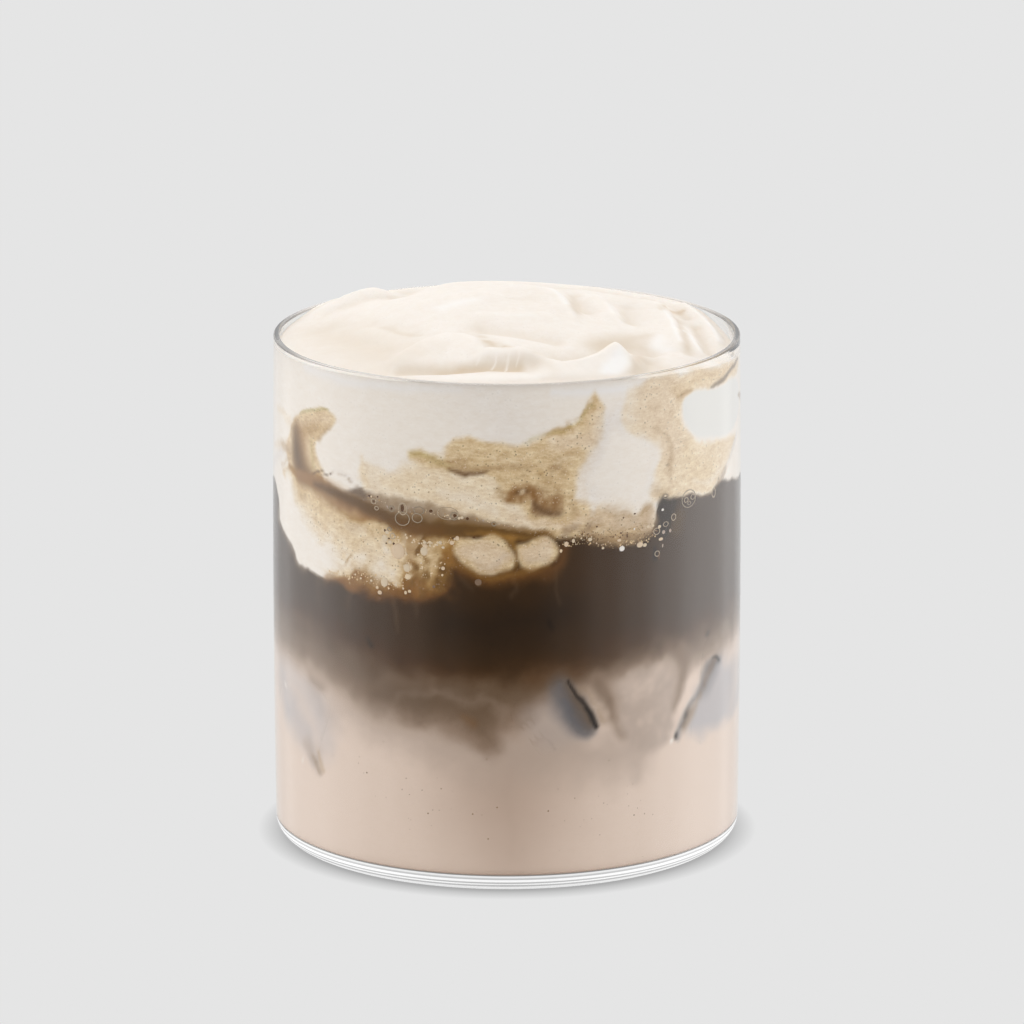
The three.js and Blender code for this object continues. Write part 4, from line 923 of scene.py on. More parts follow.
def smooth_step(t):
    t = np.clip(t, 0, 1)
    return t * t * (3 - 2 * t)


def closed_curve(pairs, place, turn):
    """A smooth curve that closes on itself after a turn, through (place, value) pairs, at many places."""
    known, value = np.array(pairs, float).T
    known = np.concatenate([known[-2:] - turn, known, known[:3] + turn])
    value = np.concatenate([value[-2:], value, value[:3]])
    turned = np.mod(place - pairs[0][0], turn) + pairs[0][0]
    i = np.clip(np.searchsorted(known, turned, side="right") - 1, 1, len(known) - 3)
    span = known[i + 1] - known[i]
    t = (turned - known[i]) / span
    start_slope = (value[i + 1] - value[i - 1]) / (known[i + 1] - known[i - 1]) * span
    end_slope = (value[i + 2] - value[i]) / (known[i + 2] - known[i]) * span
    rise = value[i + 1] - value[i]
    bend = start_slope + end_slope - 2 * rise
    return value[i] + t * (start_slope + t * (rise - start_slope - bend + t * bend))


def rounded_path(points, closed, steps=4):
    """A smooth path through the points, which carries along every value of a point."""
    here = np.array(points, float)
    if len(here) < 3:
        return here
    if closed:
        before, after, beyond = np.roll(here, 1, 0), np.roll(here, -1, 0), np.roll(here, -2, 0)
    else:
        ends = np.concatenate([here[:1], here, here[-1:]])
        before, here, after, beyond = ends[:-3], ends[1:-2], ends[2:-1], ends[3:]
    slope, bend = after - before, 2 * before - 5 * here + 4 * after - beyond
    twist = 3 * here - before - 3 * after + beyond
    pieces = [here + 0.5 * (slope * t + bend * t**2 + twist * t**3) for t in np.arange(steps) / steps]
    path = np.stack(pieces, 1).reshape(-1, here.shape[1])
    return path if closed else np.concatenate([path, after[-1:]])


def along_segment(start, end, x, y):
    """How far along a segment, from 0 to 1, the nearest point to each place lies, and its distance."""
    step_x, step_y = end[0] - start[0], end[1] - start[1]
    t = ((x - start[0]) * step_x + (y - start[1]) * step_y) / (step_x**2 + step_y**2 + TINY)
    t = np.clip(t, 0, 1)
    return t, np.hypot(x - start[0] - t * step_x, y - start[1] - t * step_y)


def outline_distance(path, x, y):
    """Distance to a closed outline, negative inside."""
    best = np.full(x.shape, np.inf)
    inside = np.zeros(x.shape, bool)
    for start, end in zip(path, np.roll(path, -1, 0)):
        best = np.minimum(best, along_segment(start, end, x, y)[1])
        if start[1] != end[1]:
            crossing = start[0] + (y - start[1]) * (end[0] - start[0]) / (end[1] - start[1])
            inside ^= ((start[1] > y) != (end[1] > y)) & (x < crossing)
    return np.where(inside, -best, best)


def band_distance(path, x, y):
    """Distance to the edge of a band whose half width changes along its path, negative inside."""
    best = np.full(x.shape, np.inf)
    if len(path) == 1:
        path = np.concatenate([path, path])
    for start, end in zip(path[:-1], path[1:]):
        t, distance = along_segment(start, end, x, y)
        best = np.minimum(best, distance - start[2] - t * (end[2] - start[2]))
    return best


def beside_path(path, x, y):
    """Distance to a path, and the side on which each place lies, from -1 at its left to 1 at its right."""
    best, side = np.full(x.shape, np.inf), np.zeros(x.shape)
    for start, end in zip(path[:-1], path[1:]):
        distance = along_segment(start, end, x, y)[1]
        step_x, step_y = end[0] - start[0], end[1] - start[1]
        across = ((x - start[0]) * step_y - (y - start[1]) * step_x) / math.hypot(step_x, step_y)
        side = np.where(distance < best, np.tanh(across / FOLD_SIDE_BLEND), side)
        best = np.minimum(best, distance)
    return best, side


class Noise:
    """Smooth noise from a table of random numbers that repeats in all three directions"""

    def __init__(self, seed, size=48):
        self.table = np.random.default_rng(seed).uniform(-1, 1, (size, size, size))
        self.size = size

    def read(self, x, y, z):
        low = [np.floor(place).astype(int) for place in (x, y, z)]
        ease = [smooth_step(place - base) for place, base in zip((x, y, z), low)]
        total = 0
        for corner in np.ndindex(2, 2, 2):
            weight = 1
            for side, part in zip(corner, ease):
                weight = weight * (part if side else 1 - part)
            index = tuple((base + side) % self.size for base, side in zip(low, corner))
            total = total + weight * self.table[index]
        return total

    def fractal(self, places, scale, octaves, shift):
        total = 0
        for octave in range(octaves):
            grain = OCTAVE_STEP**octave / scale
            offset = shift + OCTAVE_SHIFT * octave
            total = total + OCTAVE_FALL**octave * self.read(*(place * grain + offset for place in places))
        return total


def coat_of(palette, colour):
    """A colour as gamma values, and its froth."""
    return np.array((*palette[colour] ** GAMMA, FROTH.get(colour, 0)))


def lay_markings(coat, palette, markings, places, x, y, turn=None):
    """Lays markings one over the other on a coat of colours and froth. x and y are the flat coordinates that
    the markings are drawn in, and x closes on itself after a turn where one is given."""
    noise = Noise(SEED)
    wander_x = WANDER * noise.fractal(places, *WANDER_X)
    wander_y = WANDER * noise.fractal(places, *WANDER_Y)
    patches = noise.fractal(places, *PATCHES)
    for form, colour, points, cover, soft, ragged, mottle in markings:
        if form == "above":
            near = slice(None)
            distance = closed_curve(points, x + ragged * wander_x, turn) - y - ragged * wander_y
        else:
            path = rounded_path(points, form == "area")
            widest = 0 if form == "area" else path[:, 2].max()
            reach = soft + WANDER_REACH * ragged + widest
            (low_x, low_y), (high_x, high_y) = path[:, :2].min(0) - reach, path[:, :2].max(0) + reach
            turned = x
            if turn:
                middle = (low_x + high_x) / 2
                turned = (x - middle + turn / 2) % turn - turn / 2 + middle
            near = (turned > low_x) & (turned < high_x) & (y > low_y) & (y < high_y)
            measure = outline_distance if form == "area" else band_distance
            near_x = turned[near] + ragged * wander_x[near]
            near_y = y[near] + ragged * wander_y[near]
            distance = measure(path, near_x, near_y)
        share = cover * smooth_step(0.5 - distance / (2 * soft))
        if mottle:
            share = share * np.clip(1 + mottle * (PATCH_CONTRAST * patches[near] - PATCH_LEVEL), 0, 1)
        coat[near] += share[:, None] * (coat_of(palette, colour) - coat[near])
    return coat


def paint_wall(palette, x, y, z):
    """The coat of what shows through the wall at places on it."""
    angle = np.arctan2(x, -y)
    places = (SKIN_RADIUS * np.sin(angle), -SKIN_RADIUS * np.cos(angle), z)
    coat = np.tile(coat_of(palette, "milk"), (len(angle), 1))
    return lay_markings(coat, palette, MARKINGS, places, angle * SKIN_RADIUS, z, ONCE_ROUND)


def blurred(values, width):
    """A square grid of values, blurred."""
    frequency = np.fft.fftfreq(len(values), RELIEF_SPACING)
    fall = np.exp(-2 * (math.pi * width * frequency) ** 2)
    return np.real(np.fft.ifft2(np.fft.fft2(values) * fall[:, None] * fall))


def read_grid(grid, row, column):
    """Values of a grid between its points."""
    low_row, low_column = row.astype(int), column.astype(int)
    part = column - low_column
    lower, upper = (
        grid[line, low_column] * (1 - part) + grid[line, low_column + 1] * part
        for line in (low_row, low_row + 1)
    )
    return lower + (upper - lower) * (row - low_row)


def paint_top(palette, x, y):
    """The coat of the cream's top, with painted highlights on its crests and painted shade in its hollows."""
    line = np.arange(-SKIN_RADIUS, SKIN_RADIUS, RELIEF_SPACING)
    grid_x, grid_y = np.meshgrid(line, line)
    inside = (np.hypot(grid_x, grid_y) < SKIN_RADIUS).astype(float)
    height = cream_height(grid_x, grid_y) * inside
    last = len(line) - 1.001
    row, column = (np.clip((place - line[0]) / RELIEF_SPACING, 0, last) for place in (y, x))
    coat = np.tile(coat_of(palette, "open cream"), (len(x), 1))
    for width, depth in RELIEF_SCALES:
        hollow = blurred(height, width) / np.maximum(blurred(inside, width), LEAST_SHARE) - height
        hollow = read_grid(hollow, row, column) / depth
        # painted shade in the hollows, painted highlight on the crests
        for colour, share in (("hollow cream", hollow), ("lit cream", -hollow)):
            coat += RELIEF_COVER * np.clip(share, 0, 1)[:, None] * (coat_of(palette, colour) - coat)
    return lay_markings(coat, palette, TOP_MARKINGS, (x, y, 0 * x), x, y)


def paint_drink(scene, mesh, has_top=False):
    """Paints a layer's skin with what shows through the wall, and the top of the cream."""
    x, y, z = vertex_places(mesh)
    palette = drink_palette(scene)
    coat = paint_wall(palette, x, y, z)
    if has_top:
        inner = smooth_step((skin_radius(z) - np.hypot(x, y)) / TOP_BLEND - TOP_START)[:, None]
        coat += inner * (paint_top(palette, x, y) - coat)
    store_paint(mesh, coat[:, :3] ** (1 / GAMMA), coat[:, 3])


def layer_height(level, wall_heights, azimuth, share):
    """A layer's surface: wavy at the wall, where share is 1, and calmer towards its mean at the axis."""
    return level + (closed_curve(wall_heights, azimuth, 360) - level) * share**CALMING


def wall_bulge(height):
    """How far the wall stands out at a height beyond its radius at the rim."""
    return BULGE * np.maximum(0, 1 - ((height - BULGE_HEIGHT) / BULGE_REACH) ** 2)


def skin_radius(height):
    return SKIN_RADIUS + wall_bulge(height)


def cream_height(x, y):
    """Height of the cream's upper surface above the rim at each x, y."""
    edge = closed_curve(CREAM_EDGE, np.degrees(np.arctan2(x, -y)), 360)
    peak_x, peak_y, peak_height = MOUND_PEAK
    off_x, off_y = x - peak_x, y - peak_y
    length = np.hypot(off_x, off_y) + TINY
    across = (peak_x * off_x + peak_y * off_y) / length
    reach = -across + np.sqrt(across**2 + SKIN_RADIUS**2 - peak_x**2 - peak_y**2)
    height = peak_height + (edge - peak_height) * np.minimum(length / reach, 1) ** MOUND_FULLNESS
    fade = 1 - np.minimum(np.hypot(x, y) / SKIN_RADIUS, 1) ** FOLD_FADE
    for path, rise, left, right in FOLDS.values():
        distance, side = beside_path(path, x, y)
        width = (left + right) / 2 + side * (right - left) / 2
        distance = np.hypot(distance, FOLD_ROUNDING) - FOLD_ROUNDING
        height += rise * np.exp(-((distance / width) ** FOLD_SHARPNESS)) * fade
    return height


def arc_points(centre_radius, centre_height, radius, start, end, steps):
    """(radius, height) points of an arc in the glass's section, angles in degrees."""
    angles = np.radians(np.linspace(start, end, steps + 1))
    return [(centre_radius + radius * math.cos(a), centre_height + radius * math.sin(a)) for a in angles]


def new_profile(bm, points):
    """An open chain of edges in the XZ plane through (radius, height) points."""
    verts = [bm.verts.new((radius, 0, height)) for radius, height in points]
    edges = [bm.edges.new(pair) for pair in zip(verts[:-1], verts[1:])]
    return verts + edges


def close_up(bm):
    """Joins the seams of a mesh and turns its faces outwards."""
    bmesh.ops.remove_doubles(bm, verts=bm.verts, dist=MERGE)
    bmesh.ops.recalc_face_normals(bm, faces=bm.faces)


def spin_all_round(bm, geometry, axis, steps):
    bmesh.ops.spin(
        bm, geom=geometry, cent=(0, 0, 0), axis=axis, angle=math.tau, steps=steps,
        use_merge=True, use_duplicate=False,
    )
    close_up(bm)


def column_azimuths(drink):
    """Azimuths in degrees of a rolled sheet's columns, closest at the front, with one repeated."""
    half_front = math.degrees(drink.front_angle) / 2
    front = np.linspace(-half_front, half_front, drink.front_steps, endpoint=False)
    back = np.linspace(half_front, 360 - half_front, drink.back_steps + 1)
    return np.concatenate([front, back])


def rolled_solid(azimuths, rows):
    """A closed solid rolled up from a grid: each row is a function of the azimuths that gives the radii and
    heights of one ring, and the first and last rings shrink to points on the axis."""
    bm = bmesh.new()
    bmesh.ops.create_grid(bm, x_segments=len(azimuths) - 1, y_segments=len(rows) - 1, size=1)
    bm.verts.ensure_lookup_table()
    angle = np.radians(azimuths)
    order = sorted(bm.verts, key=lambda vert: (round(vert.co.y, 6), round(vert.co.x, 6)))
    places = []
    for row in rows:
        radius, height = (np.broadcast_to(values, angle.shape) for values in row(azimuths))
        places.append(np.stack([radius * np.sin(angle), -radius * np.cos(angle), height], 1))
    for vert, place in zip(order, np.concatenate(places)):
        vert.co = place
    close_up(bm)
    return bm


def finish_piece(name, bm, material_list, node):
    """Makes the object of a finished mesh, rides it on the body and hides the imported part that it stands
    for, where there is one.
    """
    bmesh.ops.scale(bm, vec=(MM, MM, MM), verts=bm.verts)
    mesh = bpy.data.meshes.new(name)
    bm.to_mesh(mesh)
    bm.free()
    mesh.shade_smooth()
    mesh.set_sharp_from_angle(angle=SHARP)
    for material in material_list:
        mesh.materials.append(material)
    piece = bpy.data.objects.new(name, mesh)
    bpy.context.scene.collection.objects.link(piece)
    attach(piece, BODY)
    if node:
        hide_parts(node)
    return piece


def vertex_places(mesh):
    """The mesh's vertices in mm, as three arrays."""
    places = np.empty(len(mesh.vertices) * 3)
    mesh.vertices.foreach_get("co", places)
    return places.reshape(-1, 3).T / MM


def store_paint(mesh, colours, froth):
    """Keeps painted colours and froth as attributes that the materials read."""
    paint = mesh.attributes.new("paint", "FLOAT_COLOR", "POINT")
    paint.data.foreach_set("color", np.concatenate([colours, np.ones((len(colours), 1))], 1).ravel())
    mesh.attributes.new("froth", "FLOAT", "POINT").data.foreach_set("value", froth)


def drink_palette(scene):
    """The colours of the drink by their plain names."""
    colours, names = scene.latte_colours, ColourSettings.__annotations__
    return {name.replace("_", " "): np.array(getattr(colours, name)) for name in names}


class Tree:
    """Adds linked nodes to the node tree of a material, a group or the world"""

    def __init__(self, tree):
        self.nodes, self.links = tree.nodes, tree.links

    def feed(self, socket, value):
        """Gives a socket a plain value, or links it to another node's output."""
        if isinstance(value, (int, float, tuple)):
            socket.default_value = value
        else:
            self.links.new(value, socket)

    def add(self, kind, inputs=None, **settings):
        """Adds a shader node with its settings, and feeds its inputs by name or place."""
        node = self.nodes.new("ShaderNode" + kind)
        for name, value in settings.items():
            setattr(node, name, value)
        for name, value in (inputs or {}).items():
            self.feed(node.inputs[name], value)
        return node

    def object_place(self):
        return self.add("TexCoord").outputs["Object"]

    def math(self, operation, *values):
        return self.add("Math", dict(enumerate(values)), operation=operation).outputs[0]

    def vector_math(self, operation, *values):
        return self.add("VectorMath", dict(enumerate(values)), operation=operation).outputs

    def smooth_range(self, value, low, high, to_low=0, to_high=1):
        inputs = {"Value": value, "From Min": low, "From Max": high, "To Min": to_low, "To Max": to_high}
        return self.add("MapRange", inputs, interpolation_type="SMOOTHSTEP").outputs["Result"]

    def mix(self, factor, first, second):
        return self.add("Mix", {0: factor, 2: first, 3: second}).outputs[0]

    def mix_colours(self, factor, first, second):
        return self.add("Mix", {0: factor, 6: first, 7: second}, data_type="RGBA").outputs[2]

    def noise(self, place, scale, detail):
        return self.add("TexNoise", {"Vector": place, "Scale": scale, "Detail": detail}).outputs["Fac"]

    def cells(self, place, scale):
        return self.add("TexVoronoi", {"Vector": place, "Scale": scale}).outputs["Distance"]

    def greys(self, place, levels, interpolation="LINEAR"):
        """Greys read from a ramp of (place, brightness) pairs."""
        node = self.add("ValToRGB", {"Fac": place})
        ramp = node.color_ramp
        ramp.interpolation = interpolation
        ramp.elements.remove(ramp.elements[1])
        for index, (spot, grey) in enumerate(levels):
            element = ramp.elements.new(spot) if index else ramp.elements[0]
            element.position, element.color = spot, (grey, grey, grey, 1)
        return node.outputs["Color"]


def froth_group():
    """Breaks a painted colour up into fine froth: pale bubbles, dark pores and a fine unevenness."""
    group = bpy.data.node_groups.new("froth", "ShaderNodeTree")
    for name, kind in (("Color", "NodeSocketColor"), ("Froth", "NodeSocketFloat")):
        group.interface.new_socket(name, in_out="INPUT", socket_type=kind)
    group.interface.new_socket("Color", in_out="OUTPUT", socket_type="NodeSocketColor")
    tree = Tree(group)
    inlet, outlet = tree.nodes.new("NodeGroupInput"), tree.nodes.new("NodeGroupOutput")
    froth = inlet.outputs["Froth"]
    place = tree.object_place()
    flat = tree.add("Mapping", {"Vector": place, "Scale": (1, 1, WISP_FLATNESS)}).outputs["Vector"]
    lumps, wisps = tree.noise(flat, LUMP_SCALE, 3), tree.noise(flat, WISP_SCALE, 2)
    fine = tree.noise(place, FINE_SCALE, 2)
    grain = GRAIN_LEVEL
    for pattern, share in zip((lumps, wisps, fine), GRAIN_SHARES):
        grain = tree.math("MULTIPLY_ADD", tree.math("SUBTRACT", pattern, 0.5), share, grain)
    amount = tree.mix(froth, 1, grain)
    powers = {index: tree.math("POWER", amount, power) for index, power in enumerate(GRAIN_WARMTH)}
    warmth = tree.add("CombineXYZ", powers).outputs[0]
    colour = tree.vector_math("MULTIPLY", inlet.outputs["Color"], warmth)[0]
    for scale, fading, gathering, strength, tint in FROTH_SPOTS:
        spots = tree.smooth_range(tree.cells(place, scale), *fading, 1, 0)
        spots = tree.math("MULTIPLY", spots, tree.smooth_range(lumps, *gathering))
        share = tree.math("MULTIPLY", tree.math("MULTIPLY", spots, froth), strength)
        colour = tree.mix_colours(share, colour, tint)
    tree.feed(outlet.inputs["Color"], colour)
    return group


def new_material(name, looks):
    """A material whose shader has the given values, with its node tree and that shader."""
    material = bpy.data.materials.new(name)
    material.use_nodes = True
    tree = Tree(material.node_tree)
    shader = tree.nodes["Principled BSDF"]
    for socket, value in looks.items():
        tree.feed(shader.inputs[socket], value)
    return material, tree, shader


def painted_material(name, looks):
    """A material in the painted colours of its piece, broken up by froth."""
    material, tree, shader = new_material(name, looks)
    paint, froth = (tree.add("Attribute", attribute_name=layer) for layer in ("paint", "froth"))
    pattern = tree.add(
        "Group", {"Color": paint.outputs["Color"], "Froth": froth.outputs["Fac"]},
        node_tree=bpy.data.node_groups.get("froth") or froth_group(),
    )
    tree.feed(shader.inputs["Base Color"], pattern.outputs["Color"])
    return material, tree, shader


def wetted_wall(name):
    """Drink that lies against the glass, without a gloss of its own."""
    return painted_material(name, {"Roughness": 1, "Specular IOR Level": 0})[0]


def whipped_cream():
    """Soft matt cream in the open air, slightly uneven from the whisk."""
    looks = {
        "Roughness": 0.5, "Specular IOR Level": 0.25, "Subsurface Weight": 0.12,
        "Subsurface Radius": (1, 0.8, 0.6), "Subsurface Scale": 0.0016,
    }
    material, tree, shader = painted_material("whipped cream", looks)
    traces = tree.noise(tree.object_place(), STREAK_SCALE, 4)
    bump = tree.add("Bump", {"Strength": 0.5, "Distance": 0.00025, "Height": traces})
    tree.feed(shader.inputs["Normal"], bump.outputs["Normal"])
    return material


def clear_glass():
    """Clear glass that lets light through to what is inside it, and throws only a faint shadow."""
    looks = {"Transmission Weight": 1, "Roughness": 0, "IOR": 1.5, "Base Color": (0.99, 0.995, 0.993, 1)}
    material, tree, shader = new_material("clear glass", looks)
    ray = tree.add("LightPath").outputs
    either = tree.math("MAXIMUM", ray["Is Shadow Ray"], ray["Is Diffuse Ray"])
    through = tree.add("BsdfTransparent", {"Color": (0.97, 0.975, 0.975, 1)}).outputs["BSDF"]
    mix = tree.add("MixShader", {0: either, 1: shader.outputs["BSDF"], 2: through})
    tree.feed(tree.nodes["Material Output"].inputs["Surface"], mix.outputs[0])
    return material


def cut_rim():
    """The ground top of the wall, with painted shade where the eye looks along the wall, and clear where it
    looks across.
    """
    looks = {"Transmission Weight": 1, "Roughness": 0.05, "IOR": 1.5}
    material, tree, shader = new_material("cut rim", looks)
    outward = tree.vector_math("MULTIPLY", tree.object_place(), (1, 1, 0))[0]
    unit = tree.vector_math("NORMALIZE", outward)[0]
    facing = tree.add("LayerWeight", {"Normal": unit}).outputs["Facing"]
    dark = tree.smooth_range(facing, *RIM_DARKENING)
    tree.feed(shader.inputs["Base Color"], tree.mix_colours(dark, RIM_PALE, RIM_DARK))
    return material


def painted_glow_base():
    """The rounded heel of the base, painted as opaque pale rings that glow, standing in for the floor's light
    that the glass gathers.
    """
    material, tree, shader = new_material("painted glow base", {"Roughness": 0.08, "Emission Strength": 0.27})
    height = tree.add("SeparateXYZ", {0: tree.object_place()}).outputs["Z"]
    rings = tree.greys(tree.math("DIVIDE", height, HEEL_TOP * MM), BASE_RINGS)
    for socket in ("Base Color", "Emission Color"):
        tree.feed(shader.inputs[socket], rings)
    return material


class LATTE_OT_tumbler(bpy.types.Operator):
    """Adds the straight glass tumbler"""

    bl_idname = "latte.tumbler"
    bl_label = "Add Tumbler"

    def execute(self, context):
        glass = context.scene.latte_tumbler
        arc, edge, inner = glass.arc_steps, glass.rim_edge, RIM_RADIUS - WALL
        heel_radius = RIM_RADIUS + wall_bulge(glass.heel) - glass.heel
        corner_height = FLOOR + glass.corner
        corner_radius = inner + wall_bulge(corner_height) - glass.corner
        rim_height = GLASS_HEIGHT - edge
        outer_heights = np.linspace(glass.heel, rim_height, glass.wall_steps)[1:-1]
        inner_heights = np.linspace(rim_height, corner_height, glass.wall_steps)[1:-1]
        profile = [
            (0, glass.foot_recess),
            (glass.recess_radius, glass.foot_recess),
            (glass.foot_radius, 0),
            *arc_points(heel_radius, glass.heel, glass.heel, -90, 0, arc),
            *((RIM_RADIUS + wall_bulge(height), height) for height in outer_heights),
            *arc_points(RIM_RADIUS - edge, rim_height, edge, 0, 90, arc),
            *arc_points(inner + edge, rim_height, edge, 90, 180, arc),
            *((inner + wall_bulge(height), height) for height in inner_heights),
            *arc_points(corner_radius, corner_height, glass.corner, 0, -90, arc),
            (0, FLOOR),
        ]
        bm = bmesh.new()
        spin_all_round(bm, new_profile(bm, profile), (0, 0, 1), glass.steps)
        piece = finish_piece("tumbler", bm, [clear_glass(), cut_rim(), painted_glow_base()], "glass")
        for face in piece.data.polygons:
            radius = math.hypot(face.center.x, face.center.y)
            if face.center.z > rim_height * MM:
                face.material_index = RIM_SLOT
            elif face.center.z < HEEL_TOP * MM and radius > heel_radius * MM:
                face.material_index = BASE_SLOT
        return {"FINISHED"}


def layer_ring(level, wall_heights, share):
    """A ring of a layer's wavy surface, at a share of the way from the axis to the wall."""

    def ring(azimuth):
        height = layer_height(level, wall_heights, azimuth, share)
        return skin_radius(height) * share, height

    return ring


def milk_surface(share):
    return layer_ring(MILK_LEVEL, MILK_AT_WALL, share)


def cream_underside(share):
    return layer_ring(CREAM_LEVEL, CREAM_AT_WALL, share)


def cream_top(share):
    def ring(azimuth):
        angle, radius = np.radians(azimuth), SKIN_RADIUS * share
        height = GLASS_HEIGHT + cream_height(radius * np.sin(angle), -radius * np.cos(angle))
        return skin_radius(height) * share, height

    return ring


def side_rows(lower, upper, count):
    """Rows up the wall from one surface to the next, without the first and the last."""

    def row(part):
        def ring(azimuth):
            low, high = lower(azimuth)[1], upper(azimuth)[1]
            height = low + (high - low) * part
            return skin_radius(height), height

        return ring

    return [row(part) for part in np.arange(1, count) / count]


def rings_across(surface, count):
    """Rings across a surface from the axis to the wall."""
    return [surface(share) for share in np.linspace(0, 1, count + 1)]


def finish_layer(scene, name, rows, material_list, node, has_top=False):
    """Makes and paints the piece of one layer of the drink."""
    bm = rolled_solid(column_azimuths(scene.latte_drink), rows)
    piece = finish_piece(name, bm, material_list, node)
    paint_drink(scene, piece.data, has_top)
    return piece


class LATTE_OT_milk(bpy.types.Operator):
    """Adds the milk at the bottom of the drink"""

    bl_idname = "latte.milk"
    bl_label = "Add Milk"

    def execute(self, context):
        drink = context.scene.latte_drink
        corner, bottom = drink.milk_corner, drink.milk_foot
        middle = skin_radius(bottom + corner) - corner
        arc = arc_points(middle, bottom + corner, corner, -90, 0, MILK_CORNER_STEPS)
        rows = [lambda azimuth, point=point: point for point in [(0, bottom), *arc]]
        rows += side_rows(rows[-1], milk_surface(1), drink.milk_rows)
        rows += rings_across(milk_surface, drink.inner_rings)[::-1]
        finish_layer(context.scene, "milk_layer", rows, [wetted_wall("milk")], "milk")
        return {"FINISHED"}


class LATTE_OT_tea(bpy.types.Operator):
    """Adds the tea between the milk and the cream"""

    bl_idname = "latte.tea"
    bl_label = "Add Tea"

    def execute(self, context):
        drink = context.scene.latte_drink
        rows = rings_across(milk_surface, drink.inner_rings)
        rows += side_rows(milk_surface(1), cream_underside(1), drink.tea_rows)
        rows += rings_across(cream_underside, drink.inner_rings)[::-1]
        finish_layer(context.scene, "tea_layer", rows, [wetted_wall("tea")], "tea")
        return {"FINISHED"}


class LATTE_OT_cream(bpy.types.Operator):
    """Adds the whipped cream and its froth"""

    bl_idname = "latte.cream"
    bl_label = "Add Cream"

    def execute(self, context):
        drink = context.scene.latte_drink
        rows = rings_across(cream_underside, drink.inner_rings)
        rows += side_rows(cream_underside(1), cream_top(1), drink.cream_rows)
        rows += rings_across(cream_top, drink.top_rings)[::-1]
        materials = [wetted_wall("frothy cream"), whipped_cream()]
        piece = finish_layer(context.scene, "cream_layer", rows, materials, "cream", has_top=True)
        for face in piece.data.polygons:
            if face.normal.z > TOP_STEEPNESS:
                face.material_index = TOP_SLOT
        return {"FINISHED"}


def wall_matrix(place, height, width, depth, tall):
    """Puts a unit shape on the drink's skin, facing outwards, and gives it its size."""
    angle, radius = place / SKIN_RADIUS, skin_radius(height)
    spot = Matrix.Translation((radius * math.sin(angle), -radius * math.cos(angle), height))
    return spot @ Matrix.Rotation(angle, 4, "Z") @ Matrix.Diagonal((width, depth, tall, 1))


def move_into(bm, part):
    """Moves a part into a larger mesh and tells how many vertices it has."""
    mesh = bpy.data.meshes.new("part")
    part.to_mesh(mesh)
    part.free()
    bm.from_mesh(mesh)
    count = len(mesh.vertices)
    bpy.data.meshes.remove(mesh)
    return count


def add_bead(bm, spot, depth, divisions):
    """Adds a flattened bead and tells how many vertices it has."""
    place, height, width, tall = spot
    matrix = wall_matrix(place, height, width, depth * min(width, tall), tall)
    return len(bmesh.ops.create_icosphere(bm, subdivisions=divisions, radius=1, matrix=matrix)["verts"])


def add_bubble(bm, spot, wire, steps):
    """Adds the ring that the film of a bubble shows, and tells how many vertices it has."""
    place, height, width, tall = spot
    ring = bmesh.new()
    section = Matrix.Translation((1, 0, 0))
    bmesh.ops.create_circle(ring, segments=FILM_SIDES, radius=wire / width, matrix=section)
    spin_all_round(ring, ring.verts[:] + ring.edges[:], (0, 1, 0), steps)
    bmesh.ops.transform(ring, matrix=wall_matrix(place, height, width, width, tall), verts=ring.verts)
    return move_into(bm, ring)


def scattered_spots(trail, draw):
    """Spots strewn along a trail, most of them small, each with its colour."""
    points, count, smallest, largest, colours = trail
    path = rounded_path(points, False, TRAIL_STEPS)
    round_wall, upward = TRAIL_SPREAD
    for _ in range(count):
        place, height, spread = path[draw.integers(len(path))]
        size = smallest + (largest - smallest) * draw.random() ** TRAIL_SMALLNESS
        place += spread * draw.normal() * round_wall
        height += spread * draw.normal() * upward
        yield colours[draw.integers(len(colours))], (place, height, size, size)


def strew_beads(bm, trails, depth, draw):
    """Strews beads along trails, and gives the colours of their vertices."""
    colours = []
    for trail in trails:
        for colour, spot in scattered_spots(trail, draw):
            colours += [colour] * add_bead(bm, spot, depth, STREWN_DIVISIONS)
    return colours


def finish_dots(scene, name, bm, colours):
    """Makes one piece of many dots, each vertex in its own plain colour."""
    palette = drink_palette(scene)
    piece = finish_piece(name, bm, [wetted_wall(name.replace("_", " "))], None)
    store_paint(piece.data, np.array([palette[colour] for colour in colours]), np.zeros(len(colours)))


class LATTE_OT_bubbles(bpy.types.Operator):
    """Adds the bubbles that lie against the wall"""

    bl_idname = "latte.bubbles"
    bl_label = "Add Bubbles"

    def execute(self, context):
        detail = context.scene.latte_detail
        bm, colours = bmesh.new(), []
        for colour, spots in BUBBLES.items():
            for spot in spots:
                colours += [colour] * add_bubble(bm, spot, detail.ring_wire, detail.ring_steps)
        finish_dots(context.scene, "foam_bubbles", bm, colours)
        return {"FINISHED"}


class LATTE_OT_froth(bpy.types.Operator):
    """Adds the beads of froth and the pores at the foam's edges"""

    bl_idname = "latte.froth"
    bl_label = "Add Froth"

    def execute(self, context):
        depth = context.scene.latte_detail.bead_depth
        bm, colours = bmesh.new(), []
        for colour, spots in BEADS.items():
            for spot in spots:
                colours += [colour] * add_bead(bm, spot, depth, BEAD_DIVISIONS)
        colours += strew_beads(bm, FROTH_TRAILS, depth, np.random.default_rng(SEED))
        finish_dots(context.scene, "froth_beads", bm, colours)
        return {"FINISHED"}


class LATTE_OT_powder(bpy.types.Operator):
    """Adds the specks of roasted tea in the milk"""

    bl_idname = "latte.powder"
    bl_label = "Add Tea Powder"

    def execute(self, context):
        bm = bmesh.new()
        depth = context.scene.latte_detail.bead_depth
        colours = strew_beads(bm, POWDER_TRAILS, depth, np.random.default_rng(SEED + 1))
        finish_dots(context.scene, "tea_powder", bm, colours)
        return {"FINISHED"}


